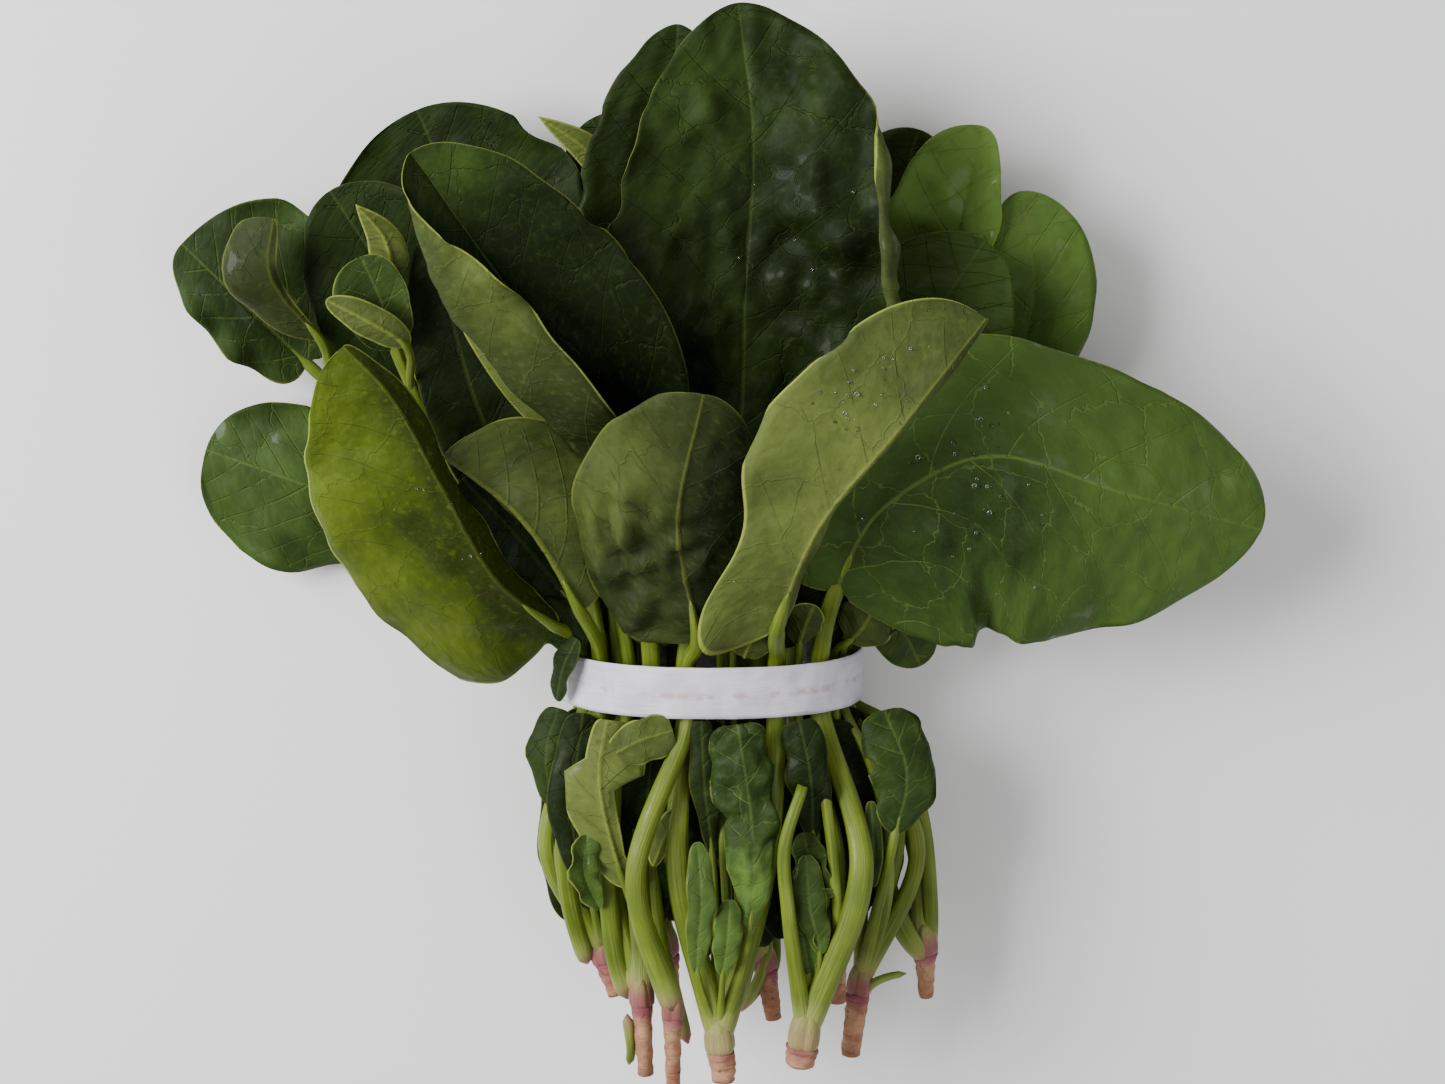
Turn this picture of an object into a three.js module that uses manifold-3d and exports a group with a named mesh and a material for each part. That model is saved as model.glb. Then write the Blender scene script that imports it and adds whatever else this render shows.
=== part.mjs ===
// A bunch of mature spinach: ten whole plants pulled with their roots, laid on a table and tied
// with one paper band. Each plant is a root, a crown with its leaf stalks, and its leaf blades.
//
// Millimetres. The origin is on the table under the middle of the band, +Z is up, +Y runs from
// the roots to the leaf tips, and +X is to the right when the roots are nearest.
import * as THREE from "three";
import { mergeVertices } from "three/addons/utils/BufferGeometryUtils.js";
import Module from "manifold-3d";

const wasm = await Module();
wasm.setup();

// ---------------------------------------------------------------- driving sizes
// The band's ring is pressed flat where it lies on the table: flat is how much of its curve that takes.
const BAND = { halfAcross: 43, halfHigh: 28.5, width: 14.5, thick: 0.8, sides: 40, flat: 0.7 };
const BAND_CLEAR = 8; // half length of the straight run of a stalk through the band
const BOW_Y = -50; // where the stalks stand furthest apart below the band
const BOW_SPREAD = 1.22; // how much wider the bundle is there than in the band
const TABLE_CLEAR = 3.6; // lowest a stalk's middle may run
const BLADE_THICK = 0.8;
const STALK_SIDES = 6;
const STALK_STEP = 17; // mm of stalk between two rings
const STALK_TAPER = { foot: 1.15, top: 0.7 }; // shares of its radius at the crown and at the blade
const JOINT_GAP = 0.5; // left between a stalk and its blade, and a crown and its root
const LOBE_ROOM = 2; // mm more left there for each unit of a blade's lobe
// A crown's radius and distance along its root's axis, as shares of the root's top radius.
const CROWN = [[0, -1.6], [0.5, -1.6], [0.88, -0.7], [1.02, 0.2], [0.96, 1.1], [0, 1.1]];
// Rings from a blade's base to its tip, and points across it.
const SMALL_BLADE = { rows: 9, columns: 5 };
const LARGE_BLADE = { rows: 11, columns: 7 };
const WAIST_REACH = 0.15; // share of its length over which a blade is drawn in
const ROW_INSET = 0.02; // how far the end rows stand in from a blade's very ends, in rows
const WAVE_PHASE = [1, 3.4]; // where the waves of a blade's two margins start
const RIB = { depth: 0.55, fade: 0.8 }; // the midrib's depth as a share of the stalk's radius
const SPINE_SAMPLES = 400;
const TANGENT_STEP = 0.5; // mm either way over which a spine's direction is taken
const CROWN_SIDES = 8;
const ROOT_SIDES = 10;
// A root narrows quickly at first: by this share of its taper over the first few millimetres.
const ROOT_NECK = { narrowing: 0.6, depth: 5 };

const GREEN = { dark: 0x2f4a24, mid: 0x4a6a2c, pale: 0x7f9440, lime: 0x8fa01c };
const STALK_COLOUR = 0x9db255;
const ROOT_COLOUR = 0xc08a62;
const BAND_COLOUR = 0xe9e4e6;

// ---------------------------------------------------------------- plants
// crown: where its stalks meet; down: which way its root points; root: length, top and end radius.
const PLANTS = {
  a: { crown: [-31, -80, 38], down: [0.3, -1, 0.1], root: [9, 3.9, 2.6] },
  b: { crown: [-20, -88, 52], down: [0.05, -1, 0], root: [20, 3.5, 2.3] },
  c: { crown: [-11, -89, 60], down: [0.0, -1, -0.1], root: [21, 3.3, 2.1] },
  d: { crown: [2, -98, 60], down: [0.1, -1, 0.0], root: [8, 4.2, 3.2] },
  e: { crown: [26, -97, 58], down: [-0.15, -1, 0], root: [5, 4.6, 3.6] },
  f: { crown: [42, -88, 42], down: [-0.12, -1, 0], root: [18, 3.6, 2.7] },
  g: { crown: [61, -80, 30], down: [0.05, -1, -0.1], root: [13, 3.8, 2.2] },
  h: { crown: [15, -88, 22], down: [0.15, -1, -0.05], root: [15, 3.6, 2.2] },
  i: { crown: [-14, -86, 14], down: [0.1, -1, -0.06], root: [16, 4.0, 2.6] },
  j: { crown: [36, -87, 12], down: [0.05, -1, 0.0], root: [14, 3.7, 2.4] },
};

// A stalk's three knots on its way up through the band at (x, z). Unless it is bowed otherwise,
// it stands out below the band as a barrel stave does.
function through(x, z, bow = []) {
  const middle = BAND.halfHigh;
  const bowX = bow[0] ?? x * BOW_SPREAD;
  const bowZ = bow[1] ?? middle + (z - middle) * BOW_SPREAD;
  return [
    [bowX, BOW_Y, Math.max(bowZ, TABLE_CLEAR)],
    [x, -BAND_CLEAR, z],
    [x, BAND_CLEAR, z],
  ];
}

// ---------------------------------------------------------------- leaves
// plant and r: the plant it grows from and its stalk's radius; stalk: knots from the crown to the
// blade; blade: knots from its base to its tip; half: greatest half width of its two sides; face:
// where its upper side looks at the base and at the tip; fold: how far each side is turned up at
// the midrib; curl: how much further it has turned by its edge; shape: powers of the outline at
// the base and at the tip; lobe: how far the sides reach back past the base; wave: height and count.
const UP = [0, 0, 1];
const DOWN = [0, 0, -1];
const LEAVES = {
  // The front of the bunch, which shows its undersides.
  front_middle: { plant: "c", r: 3.0, tone: "pale", stalk: through(-6.5, 51.2, [-21, 63]),
    blade: [[-4, 14, 54.5], [-9, 51, 72], [-2, 88, 84]], half: [24, 30], face: [[0, 0.4, -1], [0, 0.5, -1]],
    fold: [5, 5], curl: [25, 25], shape: [0.42, 0.5], lobe: 0.3, wave: [1.5, 2], large: true },
  front_right: { plant: "d", r: 3.3, tone: "pale", stalk: through(18, 48.7, [15, 52]),
    blade: [[18, 20, 64.5], [28, 52, 83], [48, 80, 95], [70, 110, 99]], half: [12, 31],
    face: [[0.3, 0, -1], [0.2, -0.1, -1]], fold: [80, -19], curl: [20, 5], shape: [0.4, 0.37], lobe: 1.4,
    waist: [0.32, 0.42], wave: [1.2, 2], large: true },
  wide_right: { plant: "e", r: 3.4, tone: "mid", stalk: through(30.1, 43, [41.5, 56]),
    blade: [[34, 28, 52], [46, 54, 66], [73, 69, 70], [110, 58, 64], [151, 44, 46]], half: [34, 54],
    face: [[-0.1, 0, 1], [0.2, -0.2, 1]], fold: [-6, -4], curl: [-22, -15], shape: [0.42, 0.5], lobe: 0.4,
    wave: [1.5, 3], large: true },
  left_lime: { plant: "a", r: 2.6, tone: "lime", stalk: through(-35.5, 35.5, [-46.5, 38]),
    blade: [[-43, 17, 46], [-58, 33, 62], [-72, 62, 74], [-84, 86, 78], [-96, 100, 80]], half: [9, 40],
    face: [[0.2, 0, -1], [0.2, 0, -1]], fold: [60, 0], curl: [30, 20], shape: [0.4, 0.45], lobe: 0.7,
    wave: [1, 2], large: true },
  left_tall: { plant: "b", r: 3.0, tone: "dark", stalk: through(-17, 41.5),
    blade: [[-25, 62, 48.5], [-34, 87, 57.5], [-56, 117, 68], [-78, 150, 76]], half: [19, 31],
    face: [[0.1, 0, 1], [0.1, 0, 1]], fold: [42, 8], curl: [-45, 15], shape: [0.45, 0.5], lobe: 0.2,
    wave: [1, 2], large: true },
  left_strip: { plant: "b", r: 2.0, tone: "pale", stalk: through(-23.5, 40.5, [-28.5, 45]),
    blade: [[-42, 70, 46], [-58, 100, 52], [-72, 126, 58]], half: [6, 9], face: [DOWN, DOWN],
    fold: [10, 10], curl: [20, 20], shape: [0.5, 0.6], lobe: 0, wave: [0.5, 2] },
  left_inner: { plant: "a", r: 2.6, tone: "pale", stalk: through(-31, 42.3, [-42, 44]),
    blade: [[-36, 22, 51], [-46, 42, 57], [-55, 54, 60.5], [-72, 68, 64]], half: [27, 6], face: [DOWN, DOWN],
    fold: [12, 60], curl: [10, 30], shape: [0.7, 0.6], lobe: 0.2, wave: [1, 2] },
  left_shade: { plant: "b", r: 2.4, tone: "dark", stalk: through(-29.5, 34, [-34.5, 36]),
    blade: [[-38, 20, 39], [-52, 40, 45], [-68, 59, 49]], half: [18, 12], face: [UP, UP],
    fold: [8, 0], curl: [10, 0], shape: [0.5, 0.6], lobe: 0, wave: [1, 2] },
  left_low: { plant: "a", r: 1.8, tone: "dark", stalk: through(-37.5, 28, [-46, 30]),
    blade: [[-43, 12, 34], [-51, 24, 38], [-58, 35, 40]], half: [14, 12], face: [UP, UP],
    fold: [0, 0], curl: [5, 5], shape: [0.5, 0.6], lobe: 0.2, wave: [1, 2] },
  right_scrap: { plant: "e", r: 1.6, tone: "pale", stalk: through(24, 46),
    blade: [[24, 12, 48], [25, 17, 52], [28, 25, 55]], half: [6, 7], face: [DOWN, DOWN],
    fold: [20, 20], curl: [20, 20], shape: [0.6, 0.7], lobe: 0, wave: [0.5, 2] },
  right_crumple: { plant: "f", r: 1.6, tone: "pale", stalk: through(34.5, 37.5),
    blade: [[38, 11, 40], [42, 16, 43], [46, 24, 45]], half: [9, 9], face: [DOWN, DOWN],
    fold: [10, 10], curl: [10, 10], shape: [0.6, 0.7], lobe: 0, wave: [1, 2] },
  right_lobe: { plant: "f", r: 2.4, tone: "mid", stalk: through(38.2, 27.5, [58, 38]),
    blade: [[44, 22, 34], [53, 13, 33], [59, 1, 28]], half: [9, 9], face: [UP, UP],
    fold: [5, 5], curl: [-15, -15], shape: [0.5, 0.5], lobe: 0, wave: [0.5, 2] },

  // The middle and the back, which show their upper sides.
  back_tall: { plant: "d", r: 3.2, tone: "dark", stalk: through(-7, 43.5, [-9.5, 55]),
    blade: [[7, 66, 42], [9, 111, 50], [11, 151, 52], [7, 187, 46]], half: [40, 42], face: [UP, UP],
    fold: [8, 6], curl: [15, 15], shape: [0.45, 0.6], lobe: 0.4, wave: [2, 3], large: true },
  back_partner: { plant: "h", r: 2.8, tone: "dark", stalk: through(3, 37),
    blade: [[-6, 78, 34], [-13, 126, 38], [-9, 181, 38]], half: [24, 24], face: [UP, UP],
    fold: [5, 5], curl: [5, 5], shape: [0.5, 0.6], lobe: 0.2, wave: [1, 2] },
  back_point: { plant: "i", r: 1.6, tone: "pale", stalk: through(-18, 13.5),
    blade: [[-19, 128, 26], [-33, 146, 32], [-47, 156, 34]], half: [5, 5], face: [DOWN, DOWN],
    fold: [10, 10], curl: [15, 15], shape: [0.6, 0.9], lobe: 0, wave: [0, 2] },
  left_back: { plant: "i", r: 3.2, tone: "dark", stalk: through(-20, 6.8),
    blade: [[-45, 71, 15], [-62, 111, 21], [-81, 157, 23]], half: [44, 38], face: [UP, UP],
    fold: [5, 5], curl: [5, 5], shape: [0.5, 0.5], lobe: 0.2, wave: [1.5, 3], large: true },
  left_grey: { plant: "i", r: 2.6, tone: "dark", stalk: through(-26.3, 10.4),
    blade: [[-67, 70, 26], [-86, 107, 33], [-104, 136, 35]], half: [24, 26], face: [UP, UP],
    fold: [5, 5], curl: [5, 5], shape: [0.5, 0.5], lobe: 0.2, wave: [1, 2] },
  far_left: { plant: "i", r: 2.4, tone: "mid", stalk: through(-31.6, 14.2, [-40, 11]),
    blade: [[-114, 85, 14], [-131, 104, 22], [-147, 120, 22]], half: [14, 36], face: [UP, UP],
    fold: [5, 4], curl: [-15, 5], shape: [0.4, 0.45], lobe: 0.4, wave: [1.5, 3] },
  right_back: { plant: "g", r: 2.4, tone: "mid", stalk: through(31.5, 15),
    blade: [[62, 96, 20], [68, 125, 27], [74, 153, 28]], half: [22, 11], face: [UP, UP],
    fold: [5, 20], curl: [10, 10], shape: [0.5, 0.5], lobe: 0.2, wave: [1, 2] },
  right_far: { plant: "g", r: 2.9, tone: "mid", stalk: through(35.5, 20, [58, 27]),
    blade: [[81, 76, 18], [89, 105, 26], [85, 135, 26]], half: [14, 18], face: [UP, UP],
    fold: [5, 5], curl: [-10, -10], shape: [0.5, 0.5], lobe: 0.2, wave: [1, 2] },
  right_shade: { plant: "e", r: 2.2, tone: "dark", stalk: through(22.5, 38, [35, 49.5]),
    blade: [[46, 70, 34], [59, 99, 39], [74, 123, 40]], half: [24, 24], face: [UP, UP],
    fold: [5, 5], curl: [5, 5], shape: [0.5, 0.5], lobe: 0.2, wave: [1, 2] },
  left_pale: { plant: "a", r: 2.4, tone: "mid", stalk: through(-36.5, 20.5, [-44, 23]),
    blade: [[-94, 42, 10], [-114, 50, 15], [-144, 60, 11]], half: [28, 22], face: [UP, UP],
    fold: [-5, -5], curl: [-10, -10], shape: [0.45, 0.45], lobe: 0.3, wave: [1, 2] },
  left_tongue: { plant: "i", r: 2.2, tone: "mid", stalk: [...through(-29.5, 18.5), [-103, 84, 37.5]],
    blade: [[-106, 95, 41], [-116, 108, 46], [-119.3, 116.5, 49], [-117.5, 130, 49.5]], half: [2.5, 13],
    face: [DOWN, DOWN], fold: [5, 5], curl: [5, 15], shape: [0.9, 0.4], lobe: 0, wave: [1, 2] },
  left_roll: { plant: "a", r: 2.4, tone: "mid", stalk: [...through(-30, 26, [-36, 28]), [-69, 56, 34]],
    blade: [[-86, 94, 45], [-89, 107, 49], [-94, 120, 52]], half: [12, 9], face: [UP, UP], fold: [5, 5],
    curl: [30, 20], shape: [0.5, 0.35], lobe: 0, wave: [0.5, 2] },
  left_flap: { plant: "a", r: 1.6, tone: "pale",
    stalk: [...through(-30, 26, [-36, 28]), [-69, 56, 34], [-82, 80, 40]],
    blade: [[-82, 96, 54], [-91, 103, 58], [-103, 109, 57]], half: [5, 5], face: [DOWN, DOWN],
    fold: [10, 10], curl: [20, 20], shape: [0.4, 0.5], lobe: 0, wave: [0.3, 2] },
  left_tip: { plant: "i", r: 1.8, tone: "pale", stalk: [...through(-22.5, 21), [-66, 60, 30], [-86, 98, 38]],
    blade: [[-86, 115, 46], [-88, 125, 49], [-95, 134, 52]], half: [5, 6], face: [DOWN, DOWN],
    fold: [10, 10], curl: [10, 10], shape: [0.25, 0.9], lobe: 0, wave: [0, 2] },
  left_middle: { plant: "b", r: 2.8, tone: "dark", stalk: through(-22, 28),
    blade: [[-42, 34, 36], [-63, 74, 41], [-76, 126, 43]], half: [14, 28], face: [UP, UP],
    fold: [4, 4], curl: [4, 4], shape: [0.5, 0.5], lobe: 0.2, wave: [1, 2] },
  under_left: { plant: "h", r: 2.6, tone: "dark", stalk: through(-11, 5.2),
    blade: [[-6, 94, 7], [-20, 128, 6], [-34, 153, 3]], half: [22, 22], face: [UP, UP],
    fold: [-5, -5], curl: [-5, -5], shape: [0.5, 0.5], lobe: 0.2, wave: [1, 2] },
  under_right: { plant: "j", r: 2.6, tone: "dark", stalk: through(10, 5.6),
    blade: [[39, 94, 6], [50, 124, 6], [58, 150, 3]], half: [20, 20], face: [UP, UP],
    fold: [-5, -5], curl: [-5, -5], shape: [0.5, 0.5], lobe: 0.2, wave: [1, 2] },

  // Short leaves that end under the band.
  low_pale: { plant: "c", r: 1.6, tone: "pale", stalk: [],
    blade: [[-24, -56, 54], [-31, -24, 57], [-29, -8, 53]], half: [13, 11], face: [DOWN, DOWN],
    fold: [5, 5], curl: [20, 20], shape: [0.5, 0.2], lobe: 0, wave: [1, 2] },
  low_crinkled: { plant: "d", r: 2.0, tone: "dark", stalk: [],
    blade: [[10, -68, 62], [11, -37, 62], [7, -8, 58]], half: [10, 9], face: [UP, UP],
    fold: [0, 0], curl: [-30, -30], shape: [0.7, 0.2], lobe: 0, wave: [1.5, 3] },
  low_middle: { plant: "d", r: 1.6, tone: "dark", stalk: [],
    blade: [[0, -47, 53], [-2, -28, 56], [-3, -8, 54]], half: [4, 4], face: [UP, UP],
    fold: [0, 0], curl: [-30, -30], shape: [0.5, 0.2], lobe: 0, wave: [1, 2] },
  low_right: { plant: "e", r: 1.6, tone: "dark", stalk: [],
    blade: [[28, -42, 53], [27, -22, 57], [24, -8, 54]], half: [7, 6], face: [UP, UP],
    fold: [0, 0], curl: [-30, -30], shape: [0.5, 0.2], lobe: 0, wave: [1, 2] },
  snapped: { plant: "e", r: 2.2, stalk: [[21, -60, 62], [20, -42, 62], [25, -25, 60]], blade: [], lobe: 0 },
  low_sprig: { plant: "e", r: 1.1, tone: "mid", stalk: [],
    blade: [[30, -74, 59], [27, -60, 60], [26, -46, 56]], half: [4, 5], face: [UP, UP],
    fold: [10, 10], curl: [-30, -30], shape: [0.5, 0.4], lobe: 0, wave: [1, 3] },
  low_far_right: { plant: "f", r: 1.8, tone: "mid", stalk: [],
    blade: [[51, -41, 52], [54, -24, 52], [48, -8, 43]], half: [11, 10], face: [[0.2, 0, 1], [0.3, 0, 1]],
    fold: [0, 0], curl: [-20, -20], shape: [0.5, 0.3], lobe: 0, wave: [1.5, 2] },
  low_left: { plant: "a", r: 1.5, tone: "dark", stalk: [],
    blade: [[-44.6, -36, 43], [-46.5, -20, 44], [-43, -8, 40.5]], half: [6, 7],
    face: [[-0.3, 0, 1], [-0.3, 0, 1]], fold: [0, 0], curl: [-30, -30], shape: [0.5, 0.3], lobe: 0,
    wave: [1, 2] },
  low_left_shade: { plant: "a", r: 1.5, tone: "dark", stalk: [],
    blade: [[-34, -60, 49], [-39, -38, 51], [-36, -8, 46]], half: [7, 7], face: [UP, UP],
    fold: [0, 0], curl: [-30, -30], shape: [0.5, 0.3], lobe: 0, wave: [1, 2] },
  low_curl_left: { plant: "d", r: 1.1, tone: "mid", stalk: [],
    blade: [[-4, -78, 64], [-3, -57, 65], [-4, -41, 60]], half: [4, 4], face: [UP, UP],
    fold: [10, 10], curl: [-30, -30], shape: [0.5, 0.4], lobe: 0, wave: [1, 3] },
  low_curl_right: { plant: "d", r: 1.1, tone: "mid", stalk: [],
    blade: [[3, -78, 65], [4, -69, 66], [5, -57, 62]], half: [4, 4], face: [UP, UP],
    fold: [10, 10], curl: [-30, -30], shape: [0.5, 0.4], lobe: 0, wave: [1, 3] },
};

// ---------------------------------------------------------------- spines
const vector = (p) => new THREE.Vector3(...p);

// A smooth line through the knots, sampled by its length.
function spineOf(knots) {
  const curve = new THREE.CatmullRomCurve3(knots.map(vector), false, "centripetal");
  const points = curve.getPoints(SPINE_SAMPLES);
  const reach = [0];
  for (let i = 1; i < points.length; i++) reach.push(reach[i - 1] + points[i].distanceTo(points[i - 1]));
  const index = (knot) => Math.round((knot * SPINE_SAMPLES) / (knots.length - 1));
  function at(distance) {
    const d = THREE.MathUtils.clamp(distance, 0, reach[SPINE_SAMPLES]);
    let low = 0;
    let high = SPINE_SAMPLES;
    while (high - low > 1) {
      const middle = (low + high) >> 1;
      if (reach[middle] <= d) low = middle;
      else high = middle;
    }
    const share = (d - reach[low]) / (reach[high] - reach[low]);
    return points[low].clone().lerp(points[high], share);
  }
  const tangent = (d) => at(d + TANGENT_STEP).sub(at(d - TANGENT_STEP)).normalize();
  return { at, tangent, length: reach[SPINE_SAMPLES], reachOf: (knot) => reach[index(knot)] };
}

// ---------------------------------------------------------------- solids
// A closed skin over rings of equal count, with a fan on each end.
function loft(rings) {
  const count = rings[0].length;
  const positions = rings.flat().flatMap((p) => [p.x, p.y, p.z]);
  const index = [];
  for (let i = 0; i + 1 < rings.length; i++)
    for (let j = 0; j < count; j++) {
      const a = i * count + j;
      const b = i * count + ((j + 1) % count);
      const c = a + count;
      const d = b + count;
      if (j < count / 2) index.push(a, b, d, a, d, c);
      else index.push(a, b, c, b, d, c);
    }
  for (const [ring, turn] of [[0, 1], [rings.length - 1, -1]]) {
    const centre = rings[ring].reduce((sum, p) => sum.add(p), new THREE.Vector3()).divideScalar(count);
    const hub = positions.length / 3;
    positions.push(centre.x, centre.y, centre.z);
    for (let j = 0; j < count; j++) {
      const a = ring * count + j;
      const b = ring * count + ((j + 1) % count);
      if (turn > 0) index.push(hub, b, a);
      else index.push(hub, a, b);
    }
  }
  const geometry = new THREE.BufferGeometry();
  geometry.setAttribute("position", new THREE.Float32BufferAttribute(positions, 3));
  geometry.setIndex(index);
  return geometry;
}

function solid(geometry) {
  const bare = geometry.clone();
  bare.deleteAttribute("normal");
  bare.deleteAttribute("uv");
  const merged = mergeVertices(bare, 1e-4);
  const mesh = new wasm.Mesh({
    numProp: 3,
    vertProperties: merged.attributes.position.array,
    triVerts: new Uint32Array(merged.index.array),
  });
  return new wasm.Manifold(mesh);
}

function geometryOf(manifold) {
  const mesh = manifold.getMesh();
  const geometry = new THREE.BufferGeometry();
  geometry.setAttribute("position", new THREE.BufferAttribute(mesh.vertProperties, 3));
  geometry.setIndex(new THREE.BufferAttribute(mesh.triVerts, 1));
  geometry.computeVertexNormals();
  return geometry;
}

// ---------------------------------------------------------------- leaf blades
// Half width at share s of the blade's length, 1 at its widest.
function outline({ shape: [base, tip], waist: [place, depth] = [0, 0] }, s) {
  const widest = base / (base + tip);
  const drawnIn = 1 - depth * Math.exp(-(((s - place) / WAIST_REACH) ** 2));
  return drawnIn * (s / widest) ** base * ((1 - s) / (1 - widest)) ** tip;
}

// The frame of the blade at a distance along its spine: tangent, side and upper normal.
function frameAt(spine, distance, face, share) {
  const along = spine.tangent(distance);
  const look = vector(face[0]).lerp(vector(face[1]), share);
  const normal = look.addScaledVector(along, -look.dot(along)).normalize();
  const side = new THREE.Vector3().crossVectors(along, normal);
  return { along, normal, side };
}

// A point of the blade at share s of its length and w of its half width, and its normal there.
function bladePoint(leaf, spine, start, s, w) {
  const length = spine.length - start;
  const distance = start + s * length;
  const { along, normal, side } = frameAt(spine, distance, leaf.face, s);
  const half = leaf.half[w < 0 ? 0 : 1];
  const reach = Math.abs(w) * Math.max(half * outline(leaf, s), leaf.r * 0.5);
  const fold = THREE.MathUtils.degToRad(leaf.fold[w < 0 ? 0 : 1]);
  const bend = THREE.MathUtils.degToRad(leaf.curl[w < 0 ? 0 : 1]) / half;
  const angle = fold + bend * reach;
  const out = Math.abs(bend) > 1e-6 ? (Math.sin(angle) - Math.sin(fold)) / bend : reach * Math.cos(fold);
  const up = Math.abs(bend) > 1e-6 ? (Math.cos(fold) - Math.cos(angle)) / bend : reach * Math.sin(fold);
  const sign = Math.sign(w);
  const [height, waves] = leaf.wave;
  const phase = 2 * Math.PI * waves * s + WAVE_PHASE[w < 0 ? 0 : 1];
  const ripple = height * w * w * Math.sin(phase) * Math.sin(Math.PI * s);
  const back = leaf.lobe * reach * w * w * (1 - s) ** 2;
  const point = spine.at(distance).addScaledVector(side, sign * out).addScaledVector(normal, up + ripple)
    .addScaledVector(along, -back);
  const facing = normal.clone().multiplyScalar(Math.cos(angle));
  facing.addScaledVector(side, -sign * Math.sin(angle));
  return { point, facing };
}

function bladeGeometry(leaf, spine, start) {
  const rings = [];
  const { rows, columns } = leaf.large ? LARGE_BLADE : SMALL_BLADE;
  for (let i = 0; i < rows; i++) {
    const s = 0.5 - 0.5 * Math.cos((Math.PI * (i + ROW_INSET)) / (rows - 1 + 2 * ROW_INSET));
    const ring = [];
    const rib = leaf.r * RIB.depth * (1 - s) ** RIB.fade;
    for (const face of [1, -1])
      for (let j = 0; j < columns; j++) {
        const w = face * ((2 * j) / (columns - 1) - 1);
        const { point, facing } = bladePoint(leaf, spine, start, s, w);
        const lift = face > 0 ? BLADE_THICK / 2 : -BLADE_THICK / 2 - (2 * j === columns - 1 ? rib : 0);
        point.addScaledVector(facing, lift);
        point.z = Math.max(point.z, face > 0 ? BLADE_THICK : 0);
        ring.push(point);
      }
    rings.push(ring);
  }
  return loft(rings);
}

// ---------------------------------------------------------------- stalks, crowns and roots
const NEARLY_UP = [0.1, 0.1, 1];

function tubeGeometry(spine, from, to, radiusAt) {
  const steps = Math.max(3, Math.round((to - from) / STALK_STEP));
  const rings = [];
  for (let i = 0; i <= steps; i++) {
    const d = THREE.MathUtils.lerp(from, to, i / steps);
    const { normal, side } = frameAt(spine, d, [NEARLY_UP, NEARLY_UP], 0);
    const r = radiusAt(i / steps);
    const ring = [];
    for (let j = 0; j < STALK_SIDES; j++) {
      const turn = (2 * Math.PI * j) / STALK_SIDES;
      const [x, y] = [-r * Math.cos(turn), r * Math.sin(turn)];
      ring.push(spine.at(d).addScaledVector(side, x).addScaledVector(normal, y));
    }
    rings.push(ring);
  }
  return loft(rings);
}

// A solid turned about an axis from its [radius, distance] profile.
function turned(profile, sides, axis, from) {
  const lathe = new THREE.LatheGeometry(profile.map(([r, y]) => new THREE.Vector2(r, y)), sides);
  lathe.applyQuaternion(new THREE.Quaternion().setFromUnitVectors(new THREE.Vector3(0, 1, 0), axis));
  return lathe.translate(...from.toArray());
}

const bunch = new THREE.Group();
function addNode(name, geometry, color, roughness) {
  const mesh = new THREE.Mesh(geometry, new THREE.MeshStandardMaterial({ color, roughness, metalness: 0 }));
  mesh.name = name;
  bunch.add(mesh);
}

const stalksOf = {};
for (const [name, leaf] of Object.entries(LEAVES)) {
  const knots = [PLANTS[leaf.plant].crown, ...leaf.stalk, ...leaf.blade];
  const spine = spineOf(knots);
  const start = leaf.blade.length ? spine.reachOf(1 + leaf.stalk.length) : spine.length;
  if (leaf.blade.length) addNode(`leaf_${name}`, bladeGeometry(leaf, spine, start), GREEN[leaf.tone], 0.5);
  const end = start - JOINT_GAP - LOBE_ROOM * leaf.lobe;
  const radiusAt = (t) => leaf.r * THREE.MathUtils.lerp(STALK_TAPER.foot, STALK_TAPER.top, t);
  const tube = tubeGeometry(spine, 0, end, radiusAt);
  (stalksOf[leaf.plant] ??= []).push(solid(tube));
}

for (const [plant, tubes] of Object.entries(stalksOf)) {
  const { crown, down, root } = PLANTS[plant];
  const [length, top, end] = root;
  const axis = vector(down).normalize();
  const knob = turned(CROWN.map(([r, y]) => [r * top, y * top]), CROWN_SIDES, axis, vector(crown));
  const joined = tubes.reduce((sum, tube) => sum.add(tube), solid(knob));
  addNode(`stalks_${plant}`, geometryOf(joined), STALK_COLOUR, 0.45);
  const foot = CROWN[CROWN.length - 1][1] * top;
  const from = vector(crown).addScaledVector(axis, foot + JOINT_GAP);
  const neck = THREE.MathUtils.lerp(top, end, ROOT_NECK.narrowing);
  const profile = [[0, 0], [top, 0], [neck, ROOT_NECK.depth], [end, length], [0, length]];
  addNode(`root_${plant}`, turned(profile, ROOT_SIDES, axis, from), ROOT_COLOUR, 0.8);
}

// ---------------------------------------------------------------- band
function bandGeometry() {
  const { halfAcross, halfHigh, width, thick, sides, flat } = BAND;
  const ring = (inset) => {
    const path = new THREE.Shape();
    for (let k = 0; k < sides; k++) {
      const turn = (2 * Math.PI * (k + 0.5)) / sides;
      const x = (halfAcross - inset) * Math.cos(turn);
      const z = Math.max(halfHigh + (halfHigh - inset) * Math.sin(turn), flat + inset) - flat;
      if (k) path.lineTo(x, z);
      else path.moveTo(x, z);
    }
    path.closePath();
    return path;
  };
  const outer = ring(0);
  outer.holes.push(ring(thick));
  const strip = new THREE.ExtrudeGeometry(outer, { depth: width, bevelEnabled: false });
  return strip.rotateX(Math.PI / 2).translate(0, width / 2, 0);
}
addNode("band", bandGeometry(), BAND_COLOUR, 0.7);

export default bunch;
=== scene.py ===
"""The looks of a bunch of mature spinach, built in its packed places: leaf blades, leaf stalks,
crowns, roots, water drops and the paper band, on a pale table under a camera that looks down."""

import math
import random

import bmesh
import bpy
import numpy as np
from mathutils import Matrix, Vector, noise


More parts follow.
